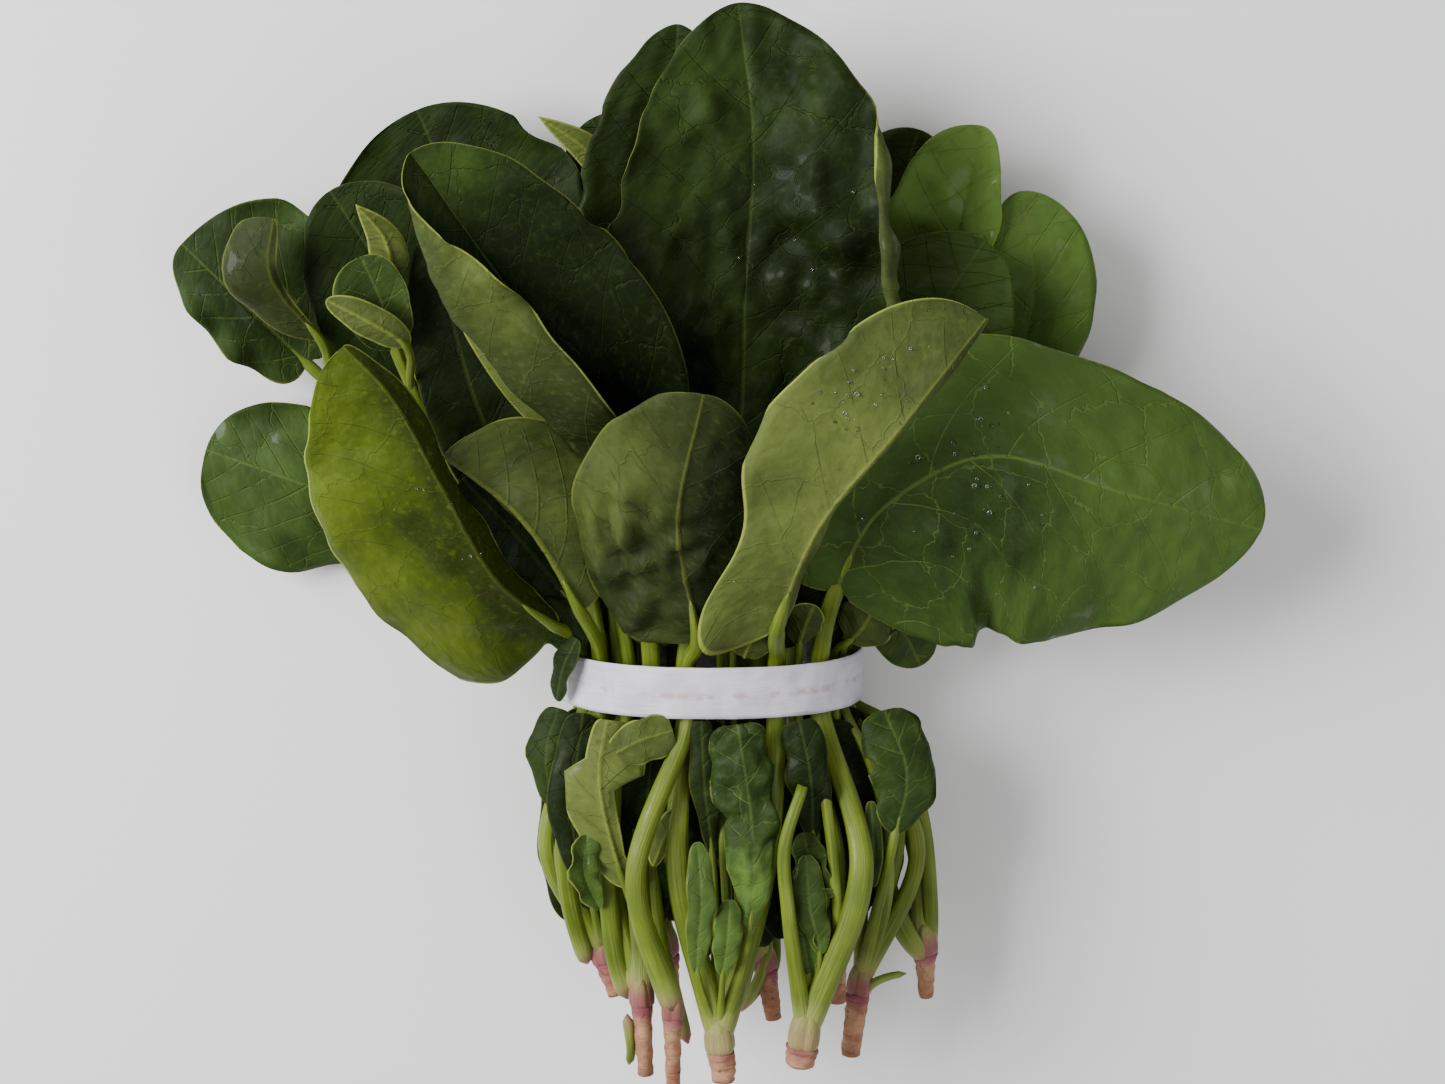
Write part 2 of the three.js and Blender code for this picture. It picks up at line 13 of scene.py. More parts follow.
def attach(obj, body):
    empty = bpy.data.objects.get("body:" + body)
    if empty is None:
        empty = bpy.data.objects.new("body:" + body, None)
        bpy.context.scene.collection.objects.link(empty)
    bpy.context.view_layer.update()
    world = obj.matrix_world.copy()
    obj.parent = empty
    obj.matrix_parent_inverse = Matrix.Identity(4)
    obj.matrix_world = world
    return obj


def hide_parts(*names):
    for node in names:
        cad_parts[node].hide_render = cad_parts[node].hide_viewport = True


bl_info = {
    "name": "Spinach bunch",
    "version": (1, 0, 0),
    "blender": (4, 5, 0),
    "location": "View3D > Sidebar > Spinach",
    "description": "Finishes a bunch of spinach tied with a paper band",
    "category": "Object",
}

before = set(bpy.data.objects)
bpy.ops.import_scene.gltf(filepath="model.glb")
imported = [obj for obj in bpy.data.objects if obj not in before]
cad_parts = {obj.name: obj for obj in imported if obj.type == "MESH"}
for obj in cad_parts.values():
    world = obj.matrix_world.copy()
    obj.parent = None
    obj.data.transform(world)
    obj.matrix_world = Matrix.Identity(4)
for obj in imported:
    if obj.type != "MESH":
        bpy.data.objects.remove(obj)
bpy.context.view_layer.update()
MM = 0.001
UP = (0, 0, 1)
DOWN = (0, 0, -1)

# ---------------------------------------------------------------- the bunch, in millimetres
# The origin is on the table under the band; +Y runs from the roots to the leaf tips.
# The band's outer half sizes and width, and where its strip starts and how far it turns, in degrees.
BAND = {"half_across": 43, "half_high": 28.5, "width": 14.5, "start": 168, "turn": 378}
BAND_CLEAR = 8  # half length of the straight run of a stalk through the band
BOW_Y = -50  # where the stalks stand furthest apart below the band
BOW_SPREAD = 1.22
TABLE_CLEAR = 3.6  # lowest a stalk's middle may run
FLOOR = 0.05  # lowest any place of a piece may be
INNER_END_Y = 34  # where the inner stalks end, out of sight
INNER_SPREAD = 1.12
INNER_FOOT = 1.4  # radius that an inner leaf's midrib is sized by
CROWN = ((0, -1.6), (0.5, -1.6), (0.88, -0.7), (1.02, 0.2), (0.96, 1.1), (0, 1.1))
NECK = 4  # how far down a root narrows fast
TUBE_SIDES, TUBE_STEP, CROWN_SIDES, ROOT_SIDES = 18, 2.2, 44, 30
PAPER_INSIDE = 0.35  # how far inside the band's outer size the paper runs
PAPER_FACES = (220, 12)  # along the strip and across it
PAPER_LAP = (0.93, 0.97)  # shares of the strip between which it climbs on to its own start
# The paper's crinkles: how many along the strip and per millimetre across it, the slice of noise
# that they come from and their height.
PAPER_CRINKLES = ((46, 0.09, 3.1, 0.35), (130, 0.25, 8.4, 0.16))

SPINE_SAMPLES = 400
TANGENT_STEP = 0.5
WAIST_REACH = 0.15  # share of its length over which a blade is drawn in
WAVE_PHASE = (1, 3.4)
TEAR_RAMP = 0.07  # share of its length over which a torn part begins and ends
ROLL_TURN = 2.7  # how far a margin that is folded over turns, in radians
ROLL_CREASE = 4.5  # width of the strip of blade that turns; any beyond it lies flat
ROLL_START = 0.15
TOOTH_WAVE = 17
LIP_HIGH = 0.8  # how far the very edge turns up and down
LIP_WAVE = 31
MARGIN_WAVE = 19
FINE_WAVE = 7
CREASE_WAVES = (100, 18, 12)  # a blade's length past which they are broad, their broad and fine size
HEAVE_WAVES = (60, 30, 13)
GROOVE_DEEP = 0.3  # over the midrib, with its half width below
GROOVE_HALF = 0.8
VEIN_SLANT = 0.75  # how far along a side vein runs for each step across
VEIN_BEND = 0.004
VEIN_WAVES = ((2.4, 8, 2), (2.2, 13, 1))  # height, length and phase, across it and along it

# In metres: each light's place, its size and its power in watts; and the camera.
LIGHTS = (("key_light", (-1.05, 0.45, 0.95), 0.9, 44), ("fill_light", (0.8, -0.4, 1.4), 1.2, 9))
LIGHTS_AIM = (0, 0.03, 0.03)
ROOM_LIGHT = 0.4
CAMERA = {"lens": 80.08, "sensor": 36, "lean": 12, "aim": (0.0029, 0.0372, 0.03), "far": 0.9}

# Marks on a blade: how far along and across it their middle is, their reach both ways, in
# millimetres, how dark they make it, which is mostly painted shade, painted light where it is
# below 0, and some bruises, how brown and pale they are, and how high the blade is crumpled there.
STAINS_AND_PAINTED_LIGHT = {
    # front_middle: painted shade on its right half and lower left, painted light on its upper left.
    "middle": (
        (42, 9, 12, 12, 0, 0, 0.3, 0), (38, 22, 9, 8, -1, 0.25, 0.4, 0), (24, 20, 24, 14, 0.7, 0, 0, 2.2),
        (36, 10, 12, 16, 0, 0, 0, 2.4), (44, -15, 34, 12, 1.9, 0, 0, 0), (18, -4, 12, 10, 0.8, 0, 0, 0.6),
        (54, 18, 14, 12, -0.8, 0, 0, 0)),
    # front_right: brown specks near its base, its middle painted lighter and its tip darker.
    "specks": (
        (20, 0, 16, 14, 0.1, 0.35, 0, 0.2), (60, 0, 26, 14, -0.3, 0.1, 0, 0),
        (100, 0, 18, 22, 0.4, 0, 0, 0)),
    # left_lime: small dark bruises, and painted shade along its right side.
    "scuffs": (
        (52, 14, 9, 8, 1, 0.25, 0, 0.4), (41, 8, 9, 7, 1.1, 0.2, 0, 0.5), (26, 4, 9, 3, 1.3, 0.5, 0, 0.3),
        (32, -14, 14, 12, 0.5, 0, 0, 0), (92, 4, 14, 10, 0.2, 0, 0, 0), (52, -4, 50, 8, 1.7, 0, 0, 0),
        (10, 4, 14, 9, 1.3, 0, 0, 0)),
    # wide_right: darker in its middle, lighter and paler at its tip.
    "wide": (
        (52, 16, 34, 24, 0.28, 0, 0, 0.7), (20, 0, 20, 30, 0.2, 0, 0, 0.5),
        (72, 22, 12, 14, 0.2, 0, 0.5, 0.9), (128, 0, 34, 40, -0.5, 0, 0.5, 0)),
    # left_tall: painted light on its tip and folded flap, painted shade at the flap's foot.
    "tall": (
        (97, 8, 16, 16, -0.9, 0, 0, 0), (30, 0, 30, 30, 0.3, 0, 0, 0), (50, -20, 60, 12, 0, 0, 0, 0.3),
        (80, -32, 30, 12, -0.9, 0, 0, 0), (12, -32, 22, 18, 1.2, 0, 0, 0.4)),
    # back_tall: painted shade over its crumpled right middle, painted light on its upper left.
    "back": (
        (58, 22, 26, 18, 0.35, 0, 0, 2.2), (50, 6, 16, 10, 0.2, 0, 0, 1.2),
        (96, -8, 20, 16, -0.45, 0, 0, 0.3),
        (72, -26, 22, 10, -0.2, 0, 0, 0), (30, -10, 20, 20, -0.1, 0, 0, 0.4)),
    "far": ((30, 6, 14, 12, 0.8, 0.1, 0, 0.3),),
    "torn": ((44, 4, 8, 10, 0.5, 0.3, 0, 0.8), (20, 8, 14, 10, 0, 0.2, 0.2, 0)),
    # low_crinkled: painted light on its lower part, where it is crumpled.
    "painted_light_and_crumples": ((14, 0, 16, 14, -1, 0, 0, 0.9), (34, 4, 14, 10, -0.2, 0, 0, 0.8)),
}
PINK = {"d": 0.4, "e": 0.55}  # how strongly the crowns are coloured, 1 unless stated

# Drops of water on a blade's upper (1) or under (-1) side: how many, where along and across it in
# shares, and their greatest radius in millimetres.
DROPS = {
    "front_right": (-1, (
        (70, (0.45, 0.95), (-0.9, 0.9), 0.33), (12, (0.6, 0.75), (0.2, 0.8), 0.55),
        (20, (0.2, 0.45), (-0.8, 0.8), 0.22))),
    "wide_right": (1, ((60, (0.15, 0.6), (-0.6, 0.7), 0.34), (30, (0.3, 0.45), (-0.3, 0.3), 0.5))),
    "back_tall": (1, ((24, (0.35, 0.75), (-0.2, 0.9), 0.3),)),
    "left_lime": (-1, ((26, (0.3, 0.6), (-0.7, 0.5), 0.3),)),
    "left_strip": (-1, ((20, (0.2, 0.8), (-0.7, 0.7), 0.26),)),
}

# crown: where its stalks meet; down: which way its root points; root: length, top and end radius.
PLANTS = {
    "a": {"crown": (-31, -80, 38), "down": (0.3, -1, 0.1), "root": (9, 3.9, 2.6)},
    "b": {"crown": (-20, -88, 52), "down": (0.05, -1, 0), "root": (20, 3.5, 2.3)},
    "c": {"crown": (-11, -89, 60), "down": (0, -1, -0.1), "root": (21, 3.3, 2.1)},
    "d": {"crown": (2, -98, 60), "down": (0.1, -1, 0), "root": (8, 4.2, 3.2)},
    "e": {"crown": (26, -97, 58), "down": (-0.15, -1, 0), "root": (5, 4.6, 3.6)},
    "f": {"crown": (42, -88, 42), "down": (-0.12, -1, 0), "root": (18, 3.6, 2.7)},
    "g": {"crown": (61, -80, 30), "down": (0.05, -1, -0.1), "root": (13, 3.8, 2.2)},
    "h": {"crown": (15, -88, 22), "down": (0.15, -1, -0.05), "root": (15, 3.6, 2.2)},
    "i": {"crown": (-14, -86, 14), "down": (0.1, -1, -0.06), "root": (16, 4, 2.6)},
    "j": {"crown": (36, -87, 12), "down": (0.05, -1, 0), "root": (14, 3.7, 2.4)},
}


def through(x, z, bow=None):
    """A stalk's three knots on its way up through the band at (x, z), bowed out below it."""
    middle = BAND["half_high"]
    bow_x, bow_z = bow or (x * BOW_SPREAD, middle + (z - middle) * BOW_SPREAD)
    return [(bow_x, BOW_Y, max(bow_z, TABLE_CLEAR)), (x, -BAND_CLEAR, z), (x, BAND_CLEAR, z)]


def past_band(x, z):
    """An inner stalk's last knots, through the band at (x, z) and into the bunch."""
    return [(x, -BAND_CLEAR, z), (x, BAND_CLEAR, z), (round(INNER_SPREAD * x, 1), INNER_END_Y, z - 1)]


def leaf(tone, plant, r, stalk, blade, half=0, fold=0, curl=0, shape=(), tint=0.5, pucker=None, **own):
    """What a leaf is made from, with what is usual for all that it doesn't state itself."""
    usual = {
        "look": tone, "face": (DOWN, DOWN) if tone == "pale" else (UP, UP), "lobe": 0, "wave": (1, 2),
        "waist": (0, 0), "torn": (), "roll": (1, 0, 0, 1, 0.15), "rib": 0.3, "heave": 0.6, "blister": 9,
        "even": 0, "stains": None}
    sides = {"half": half, "fold": fold, "curl": curl}
    pairs = {key: value if isinstance(value, tuple) else (value, value) for key, value in sides.items()}
    stated = {
        "tone": tone, "plant": plant, "r": r, "stalk": stalk, "blade": blade, "shape": shape,
        "tint": tint, "pucker": pucker}
    return usual | stated | pairs | own


def inner_leaf(tone, blade, *finer, **own):
    """A leaf drawn without its stalk, which is out of sight."""
    return leaf(tone, None, INNER_FOOT, [], blade, *finer, **own)


# A leaf's tone, the plant it grows from, its stalk's radius and knots from the crown to the blade,
# and its blade's knots from its base to its tip. Then, for both sides or for the left and the
# right: the greatest half width, how far a side is turned up at the midrib and how much further it
# has turned by its edge, in degrees. Then the powers of its outline at the base and at the tip, how
# light it is and how high it is puckered between its veins.
# Further, where a leaf states them: face: where its upper side looks at the base and at the tip;
# lobe: how far the sides reach back past the base; wave: height and count; waist: where it is
# drawn in and by how much; torn: side, start, end and depth of each torn part; roll: side, width,
# start, end and fade of a folded margin; rib: size of the midrib; heave: height of its broad
# bulges; blister: breadth of its fine ones; even: over what length its direction is averaged;
# stains: its marks and painted light; ragged: depth of its teeth; gap: distance between side veins;
# look: its finish.
LEAVES = {
    # The front of the bunch, which shows its undersides.
    "front_middle": leaf("pale", "c", 3, through(-6.5, 51.2, (-21, 63)),
        [(-4, 14, 54.5), (-9, 51, 72), (-2, 88, 84)], (24, 30), 5, 25, (0.42, 0.5), 0.38, 0.35,
        face=((0, 0.4, -1), (0, 0.5, -1)), lobe=0.3, wave=(1.5, 2), stains="middle", look="dark"),
    "front_right": leaf("pale", "d", 3.3, through(18, 48.7, (15, 52)),
        [(18, 20, 64.5), (28, 52, 83), (48, 80, 95), (70, 110, 99)], (12, 31), (80, -19), (20, 5),
        (0.4, 0.37), 0.55, 0.25, face=((0.3, 0, -1), (0.2, -0.1, -1)), lobe=1.4, wave=(1.2, 2),
        waist=(0.32, 0.42), rib=0.15, stains="specks"),
    "wide_right": leaf("mid", "e", 3.4, through(30.1, 43, (41.5, 56)),
        [(34, 28, 52), (46, 54, 66), (73, 69, 70), (110, 58, 64), (151, 44, 46)], (34, 54), (-6, -4),
        (-22, -15), (0.42, 0.5), 0.5, 0.38, face=((-0.1, 0, 1), (0.2, -0.2, 1)), lobe=0.4, wave=(1.5, 3),
        rib=0.25, even=55, stains="wide", ragged=0.02, gap=24, look="veined"),
    "left_lime": leaf("lime", "a", 2.6, through(-35.5, 35.5, (-46.5, 38)),
        [(-43, 17, 46), (-58, 33, 62), (-72, 62, 74), (-84, 86, 78), (-96, 100, 80)], (9, 40), (60, 0),
        (30, 20), (0.4, 0.45), 0.35, 0.3, face=((0.2, 0, -1), (0.2, 0, -1)), lobe=0.7, rib=0.1,
        stains="scuffs"),
    "left_tall": leaf("dark", "b", 3, through(-17, 41.5),
        [(-25, 62, 48.5), (-34, 87, 57.5), (-56, 117, 68), (-78, 150, 76)], (19, 31), (42, 8), (-45, 15),
        (0.45, 0.5), -0.1, 0.3, face=((0.1, 0, 1), (0.1, 0, 1)), lobe=0.2,
        roll=(-1, 22, -0.1, 1.02, 0.45), rib=0.2, stains="tall", look="rolled"),
    "left_strip": leaf("pale", "b", 2, through(-23.5, 40.5, (-28.5, 45)),
        [(-42, 70, 46), (-58, 100, 52), (-72, 126, 58)], (6, 9), 10, 20, (0.5, 0.6), 0.9, 0.2,
        wave=(0.5, 2)),
    "left_inner": leaf("pale", "a", 2.6, through(-31, 42.3, (-42, 44)),
        [(-36, 22, 51), (-46, 42, 57), (-55, 54, 60.5), (-72, 68, 64)], (27, 6), (12, 60), (10, 30),
        (0.7, 0.6), 0.35, 0.4, lobe=0.2),
    "left_shade": leaf("dark", "b", 2.4, through(-29.5, 34, (-34.5, 36)),
        [(-38, 20, 39), (-52, 40, 45), (-68, 59, 49)], (18, 12), (8, 0), (10, 0), (0.5, 0.6), 0.15, 0.4,
        rib=0.6),
    "left_low": leaf("dark", "a", 1.8, through(-37.5, 28, (-46, 30)),
        [(-43, 12, 34), (-51, 24, 38), (-58, 35, 40)], (14, 12), 0, 5, (0.5, 0.6), 0.7, 0.4, lobe=0.2,
        rib=0.6),
    "right_scrap": leaf("pale", "e", 1.6, through(24, 46), [(24, 12, 48), (25, 17, 52), (28, 25, 55)],
        (6, 7), 20, 20, (0.6, 0.7), 0.2, 0.4, wave=(0.5, 2)),
    "right_crumple": leaf("pale", "f", 1.6, through(34.5, 37.5),
        [(38, 11, 40), (42, 16, 43), (46, 24, 45)], 9, 10, 10, (0.6, 0.7), 0.2, 1, heave=1.4),
    "right_lobe": leaf("mid", "f", 2.4, through(38.2, 27.5, (58, 38)),
        [(44, 22, 34), (53, 13, 33), (59, 1, 28)], 9, 5, -15, (0.5, 0.5), 0.3, 0.4, wave=(0.5, 2),
        rib=0.6),
    # The middle and the back, which show their upper sides.
    "back_tall": leaf("dark", "d", 3.2, through(-7, 43.5, (-9.5, 55)),
        [(7, 66, 42), (9, 111, 50), (11, 151, 52), (7, 187, 46)], (40, 42), (8, 6), 15, (0.45, 0.6), 0.22,
        0.8, lobe=0.4, wave=(2, 3), roll=(1, 7.5, 0.25, 0.85, 0.25), heave=2.4, stains="back",
        look="rolled"),
    "back_partner": leaf("dark", "h", 2.8, through(3, 37), [(-6, 78, 34), (-13, 126, 38), (-9, 181, 38)],
        24, 5, 5, (0.5, 0.6), 0.3, 0.5, lobe=0.2, rib=0.6),
    "back_point": leaf("pale", "i", 1.6, through(-18, 13.5),
        [(-19, 128, 26), (-33, 146, 32), (-47, 156, 34)], 5, 10, 15, (0.6, 0.9), 0.7, 0.1, wave=(0, 2)),
    "left_back": leaf("dark", "i", 3.2, through(-20, 6.8),
        [(-45, 71, 15), (-62, 111, 21), (-81, 157, 23)], (44, 38), 5, 5, (0.5, 0.5), 0.3, 0.18, lobe=0.2,
        wave=(1.5, 3), rib=0.6),
    "left_grey": leaf("dark", "i", 2.6, through(-26.3, 10.4),
        [(-67, 70, 26), (-86, 107, 33), (-104, 136, 35)], (24, 26), 5, 5, (0.5, 0.5), 0.3, 0.12, lobe=0.2,
        rib=0.6),
    "far_left": leaf("mid", "i", 2.4, through(-31.6, 14.2, (-40, 11)),
        [(-114, 85, 14), (-131, 104, 22), (-147, 120, 22)], (14, 36), (5, 4), (-15, 5), (0.4, 0.45), 0.25,
        0.22, lobe=0.4, wave=(1.5, 3), stains="far"),
    "right_back": leaf("mid", "g", 2.4, through(31.5, 15), [(62, 96, 20), (68, 125, 27), (74, 153, 28)],
        (22, 11), (5, 20), 10, (0.5, 0.5), 1.2, 0.5, lobe=0.2, heave=1.2, look="brighter_mid"),
    "right_far": leaf("mid", "g", 2.9, through(35.5, 20, (58, 27)),
        [(81, 76, 18), (89, 105, 26), (85, 135, 26)], (14, 18), 5, -10, (0.5, 0.5), 0.6, 0.3, lobe=0.2,
        look="brighter_mid"),
    "right_shade": leaf("dark", "e", 2.2, through(22.5, 38, (35, 49.5)),
        [(46, 70, 34), (59, 99, 39), (74, 123, 40)], 24, 5, 5, (0.5, 0.5), 0.8, 0.4, lobe=0.2, rib=0.6),
    "left_pale": leaf("mid", "a", 2.4, through(-36.5, 20.5, (-44, 23)),
        [(-94, 42, 10), (-114, 50, 15), (-144, 60, 11)], (28, 22), -5, -10, (0.45, 0.45), 0.4, 0.25,
        lobe=0.3, rib=0.25),
    "left_tongue": leaf("mid", "i", 2.2, [*through(-29.5, 18.5), (-103, 84, 37.5)],
        [(-106, 95, 41), (-116, 108, 46), (-119.3, 116.5, 49), (-117.5, 130, 49.5)], (2.5, 13), 5,
        (5, 15), (0.9, 0.4), 0.08, 0.25, face=(DOWN, DOWN), rib=0.06, look="dark"),
    "left_roll": leaf("mid", "a", 2.4, [*through(-30, 26, (-36, 28)), (-69, 56, 34)],
        [(-86, 94, 45), (-89, 107, 49), (-94, 120, 52)], (12, 9), 5, (30, 20), (0.5, 0.35), 0.3, 0.25,
        wave=(0.5, 2)),
    "left_flap": leaf("pale", "a", 1.6, [*through(-30, 26, (-36, 28)), (-69, 56, 34), (-82, 80, 40)],
        [(-82, 96, 54), (-91, 103, 58), (-103, 109, 57)], 5, 10, 20, (0.4, 0.5), 0.45, 0.2,
        wave=(0.3, 2)),
    "left_tip": leaf("pale", "i", 1.8, [*through(-22.5, 21), (-66, 60, 30), (-86, 98, 38)],
        [(-86, 115, 46), (-88, 125, 49), (-95, 134, 52)], (5, 6), 10, 10, (0.25, 0.9), 0.7, 0.2,
        wave=(0, 2)),
    "left_middle": leaf("dark", "b", 2.8, through(-22, 28),
        [(-42, 34, 36), (-63, 74, 41), (-76, 126, 43)], (14, 28), 4, 4, (0.5, 0.5), 0.1, 0.3, lobe=0.2,
        rib=0.6),
    "under_left": leaf("dark", "h", 2.6, through(-11, 5.2), [(-6, 94, 7), (-20, 128, 6), (-34, 153, 3)],
        22, -5, -5, (0.5, 0.5), lobe=0.2, rib=0.6),
    "under_right": leaf("dark", "j", 2.6, through(10, 5.6), [(39, 94, 6), (50, 124, 6), (58, 150, 3)], 20,
        -5, -5, (0.5, 0.5), lobe=0.2, rib=0.6),
    # Short leaves that end under the band.
    "low_pale": leaf("pale", "c", 1.6, [], [(-24, -56, 54), (-31, -24, 57), (-29, -8, 53)], (13, 11), 5,
        20, (0.5, 0.2), 0.95, 0.4, torn=((-1, 0.1, 0.66, 0.7), (1, 0.7, 1.1, 0.6)), rib=0.5, heave=1,
        stains="torn", ragged=0.1),
    "low_crinkled": leaf("dark", "d", 2, [], [(10, -68, 62), (11, -37, 62), (7, -8, 58)], (10, 9), 0, -30,
        (0.7, 0.2), -0.3, 2, wave=(1.5, 3), heave=1.6, blister=8, stains="painted_light_and_crumples", ragged=0.26,
        look="brighter_mid"),
    "low_middle": leaf("dark", "d", 1.6, [], [(0, -47, 53), (-2, -28, 56), (-3, -8, 54)], 4, 0, -30,
        (0.5, 0.2), 0.2, 0.8, ragged=0.14),
    "low_right": leaf("dark", "e", 1.6, [], [(28, -42, 53), (27, -22, 57), (24, -8, 54)], (7, 6), 0, -30,
        (0.5, 0.2), 0.1, 1, heave=1.2, ragged=0.2),
    "snapped": leaf("mid", "e", 2.2, [(21, -60, 62), (20, -42, 62), (25, -25, 60)], []),
    "low_sprig": leaf("mid", "e", 1.1, [], [(30, -74, 59), (27, -60, 60), (26, -46, 56)], (4, 5), 10, -30,
        (0.5, 0.4), 0.4, 0.8, wave=(1, 3), rib=0.6, ragged=0.25),
    "low_far_right": leaf("mid", "f", 1.8, [], [(51, -41, 52), (54, -24, 52), (48, -8, 43)], (11, 10), 0,
        -20, (0.5, 0.3), 0.2, 0.8, face=((0.2, 0, 1), (0.3, 0, 1)), wave=(1.5, 2), heave=1.8,
        ragged=0.24),
    "low_left": leaf("dark", "a", 1.5, [], [(-44.6, -36, 43), (-46.5, -20, 44), (-43, -8, 40.5)], (6, 7),
        0, -30, (0.5, 0.3), 0.4, 0.8, face=((-0.3, 0, 1), (-0.3, 0, 1)), heave=1.4, ragged=0.24),
    "low_left_shade": leaf("dark", "a", 1.5, [], [(-34, -60, 49), (-39, -38, 51), (-36, -8, 46)], 7, 0,
        -30, (0.5, 0.3), 0, 0.7, heave=1.4, ragged=0.14),
    "low_curl_left": leaf("mid", "d", 1.1, [], [(-4, -78, 64), (-3, -57, 65), (-4, -41, 60)], 4, 10, -30,
        (0.5, 0.4), 0.6, 0.9, wave=(1, 3), ragged=0.3),
    "low_curl_right": leaf("mid", "d", 1.1, [], [(3, -78, 65), (4, -69, 66), (5, -57, 62)], 4, 10, -30,
        (0.5, 0.4), 0.6, 0.9, wave=(1, 3), ragged=0.3),
}

# More leaves, torn, curled or shaded, that fill the bunch between those above.
INNER_LEAVES = {
    "torn_pale": inner_leaf("pale", [(-27.4, -17.6, 55), (-20.4, -13.3, 56), (-10.8, -10.4, 55)], (7, 6),
        0, 10, (0.3, 0.2), 0.5, 0.4, rib=0.05, ragged=0.25),
    "torn_scrap": inner_leaf("pale", [(-16.2, -50.1, 53), (-13.2, -41.6, 54), (-9.7, -34.2, 53)],
        (2.5, 3.6), 0, 10, (0.4, 0.3), 0.4, 0.3, wave=(0.5, 2), ragged=0.25),
    "curly_left": inner_leaf("mid", [(-31.3, -62.4, 54), (-35.5, -51.9, 55), (-34.7, -40.8, 54)],
        (5, 4.5), (25, 35), (30, -60), (0.5, 0.3), 0.6, 1, wave=(1.2, 3), rib=0.5, ragged=0.2),
    "dark_middle": inner_leaf("dark", [(-2.4, -56, 45), (-2.7, -28.3, 48), (-2.3, -9, 48)], (7, 8), 0,
        -20, (0.5, 0.3), 0.2, 0.9, rib=0.5, ragged=0.15),
    "dark_wedge": inner_leaf("dark", [(-11.6, -70, 42), (-9.9, -56.1, 45), (-8.7, -36, 44)], 4, 10, -20,
        (0.5, 0.5), 0.2, 0.7, rib=0.5, ragged=0.2),
    "narrow_right": inner_leaf("mid", [(44.7, -57, 51), (45.1, -44.7, 52), (44.1, -32, 51)], (2.4, 2.6),
        10, -20, (0.3, 0.3), 0.2, 0.3, wave=(0.5, 2), rib=0.5, ragged=0.2),
    "sprig_main": inner_leaf("mid", [(28.1, -84, 57), (26.2, -72.5, 58), (23.4, -60, 57)], (4.5, 4), 15,
        (-40, 30), (0.9, 0.4), 0.5, 1, wave=(1.4, 3), rib=1, ragged=0.3),
    "sprig_side": inner_leaf("mid", [(25.3, -57.7, 57), (30, -56.6, 58.5), (35, -56.3, 57)], (1.6, 1.8),
        10, (-20, 20), (0.4, 0.5), 0.5, 0.4, wave=(0.6, 2), rib=0.8, ragged=0.3),
    "sprig_top": inner_leaf("dark", [(29.5, -64, 55), (27.7, -51.9, 55), (25.3, -40.4, 53)], (5, 6), 10,
        30, (0.5, 0.4), 0.8, 1, wave=(1.5, 3), rib=0.8, ragged=0.25),
    "grey_lobe": inner_leaf("pale", [(9, 9.5, 52), (12, 18, 56), (16, 27, 58)], 6, 0, 15, (0.3, 0.4),
        0.15, 0.5, face=(DOWN, (0.3, 0, -1)), ragged=0.15),
    "band_scrap": inner_leaf("dark", [(-37.5, 13, 45), (-41.6, 4, 44), (-43.4, -6, 40)], (3.6, 4.2), 0,
        (20, -20), (0.3, 0.4), 0.2, 0.5, face=((-0.6, 0, 1), (-0.8, 0, 1)), wave=(0.6, 2), ragged=0.3),
    "tucked_left": inner_leaf("dark", [(-36, 9.5, 42), (-42, 16, 44), (-50, 22, 42)], (6, 7), 0, -15,
        (0.3, 0.4), 0.3, 0.8, ragged=0.15),
}

# Broad dark leaves deep in the bunch: half width and knots.
DEEP_LEAVES = (
    (9, (-40.8, -75.1, 27), (-41.2, -49.3, 32), (-36, -10, 34)),
    (9, (-21.5, -84.3, 28), (-22.9, -54.1, 33), (-22.6, -10, 37)),
    (9, (-3.7, -86, 30), (-5.3, -54.1, 35), (-6.8, -10, 40)),
    (9, (14.1, -82, 30), (12.4, -54.1, 36), (10.7, -10, 42)),
    (9, (30, -84, 30), (30, -54.1, 36), (26.5, -10, 38)),
    (9, (48.2, -72, 24), (46.1, -50.5, 30), (37, -10, 34)),
    (14, (-28, 10, 34), (-44, 36, 38), (-62, 62, 38)),
    (14, (-14, 10, 42), (-20, 40, 44), (-26, 72, 42)),
    (14, (2, 10, 42), (4, 40, 46), (6, 76, 42)),
    (14, (18, 10, 42), (26, 40, 48), (34, 74, 44)),
    (14, (31, 10, 36), (52, 34, 42), (74, 56, 38)),
    (14, (33, 10, 26), (64, 28, 26), (96, 46, 22)),
    (14, (-33, 10, 22), (-64, 32, 22), (-98, 60, 18)),
    (14, (-22, 10, 26), (-48, 50, 26), (-72, 92, 22)),
    (14, (22, 10, 24), (44, 52, 24), (60, 100, 20)),
    (9, (-33, -66, 44), (-37, -40, 45), (-33, -12, 42)),
    (9, (20, -74, 46), (18, -46, 48), (16, -12, 46)),
    (9, (38, -74, 40), (40, -46, 43), (34, -12, 40)),
    (9, (-17, -72, 44), (-19, -46, 46), (-16, -12, 46)),
)
for number, (half_width, *knots) in enumerate(DEEP_LEAVES, 1):
    INNER_LEAVES[f"deep_{number}"] = inner_leaf(
        "dark", knots, half_width, 0, -15, (0.4, 0.3), 0.15, 1.1, wave=(1.5, 3), rib=0.4, ragged=0.15)

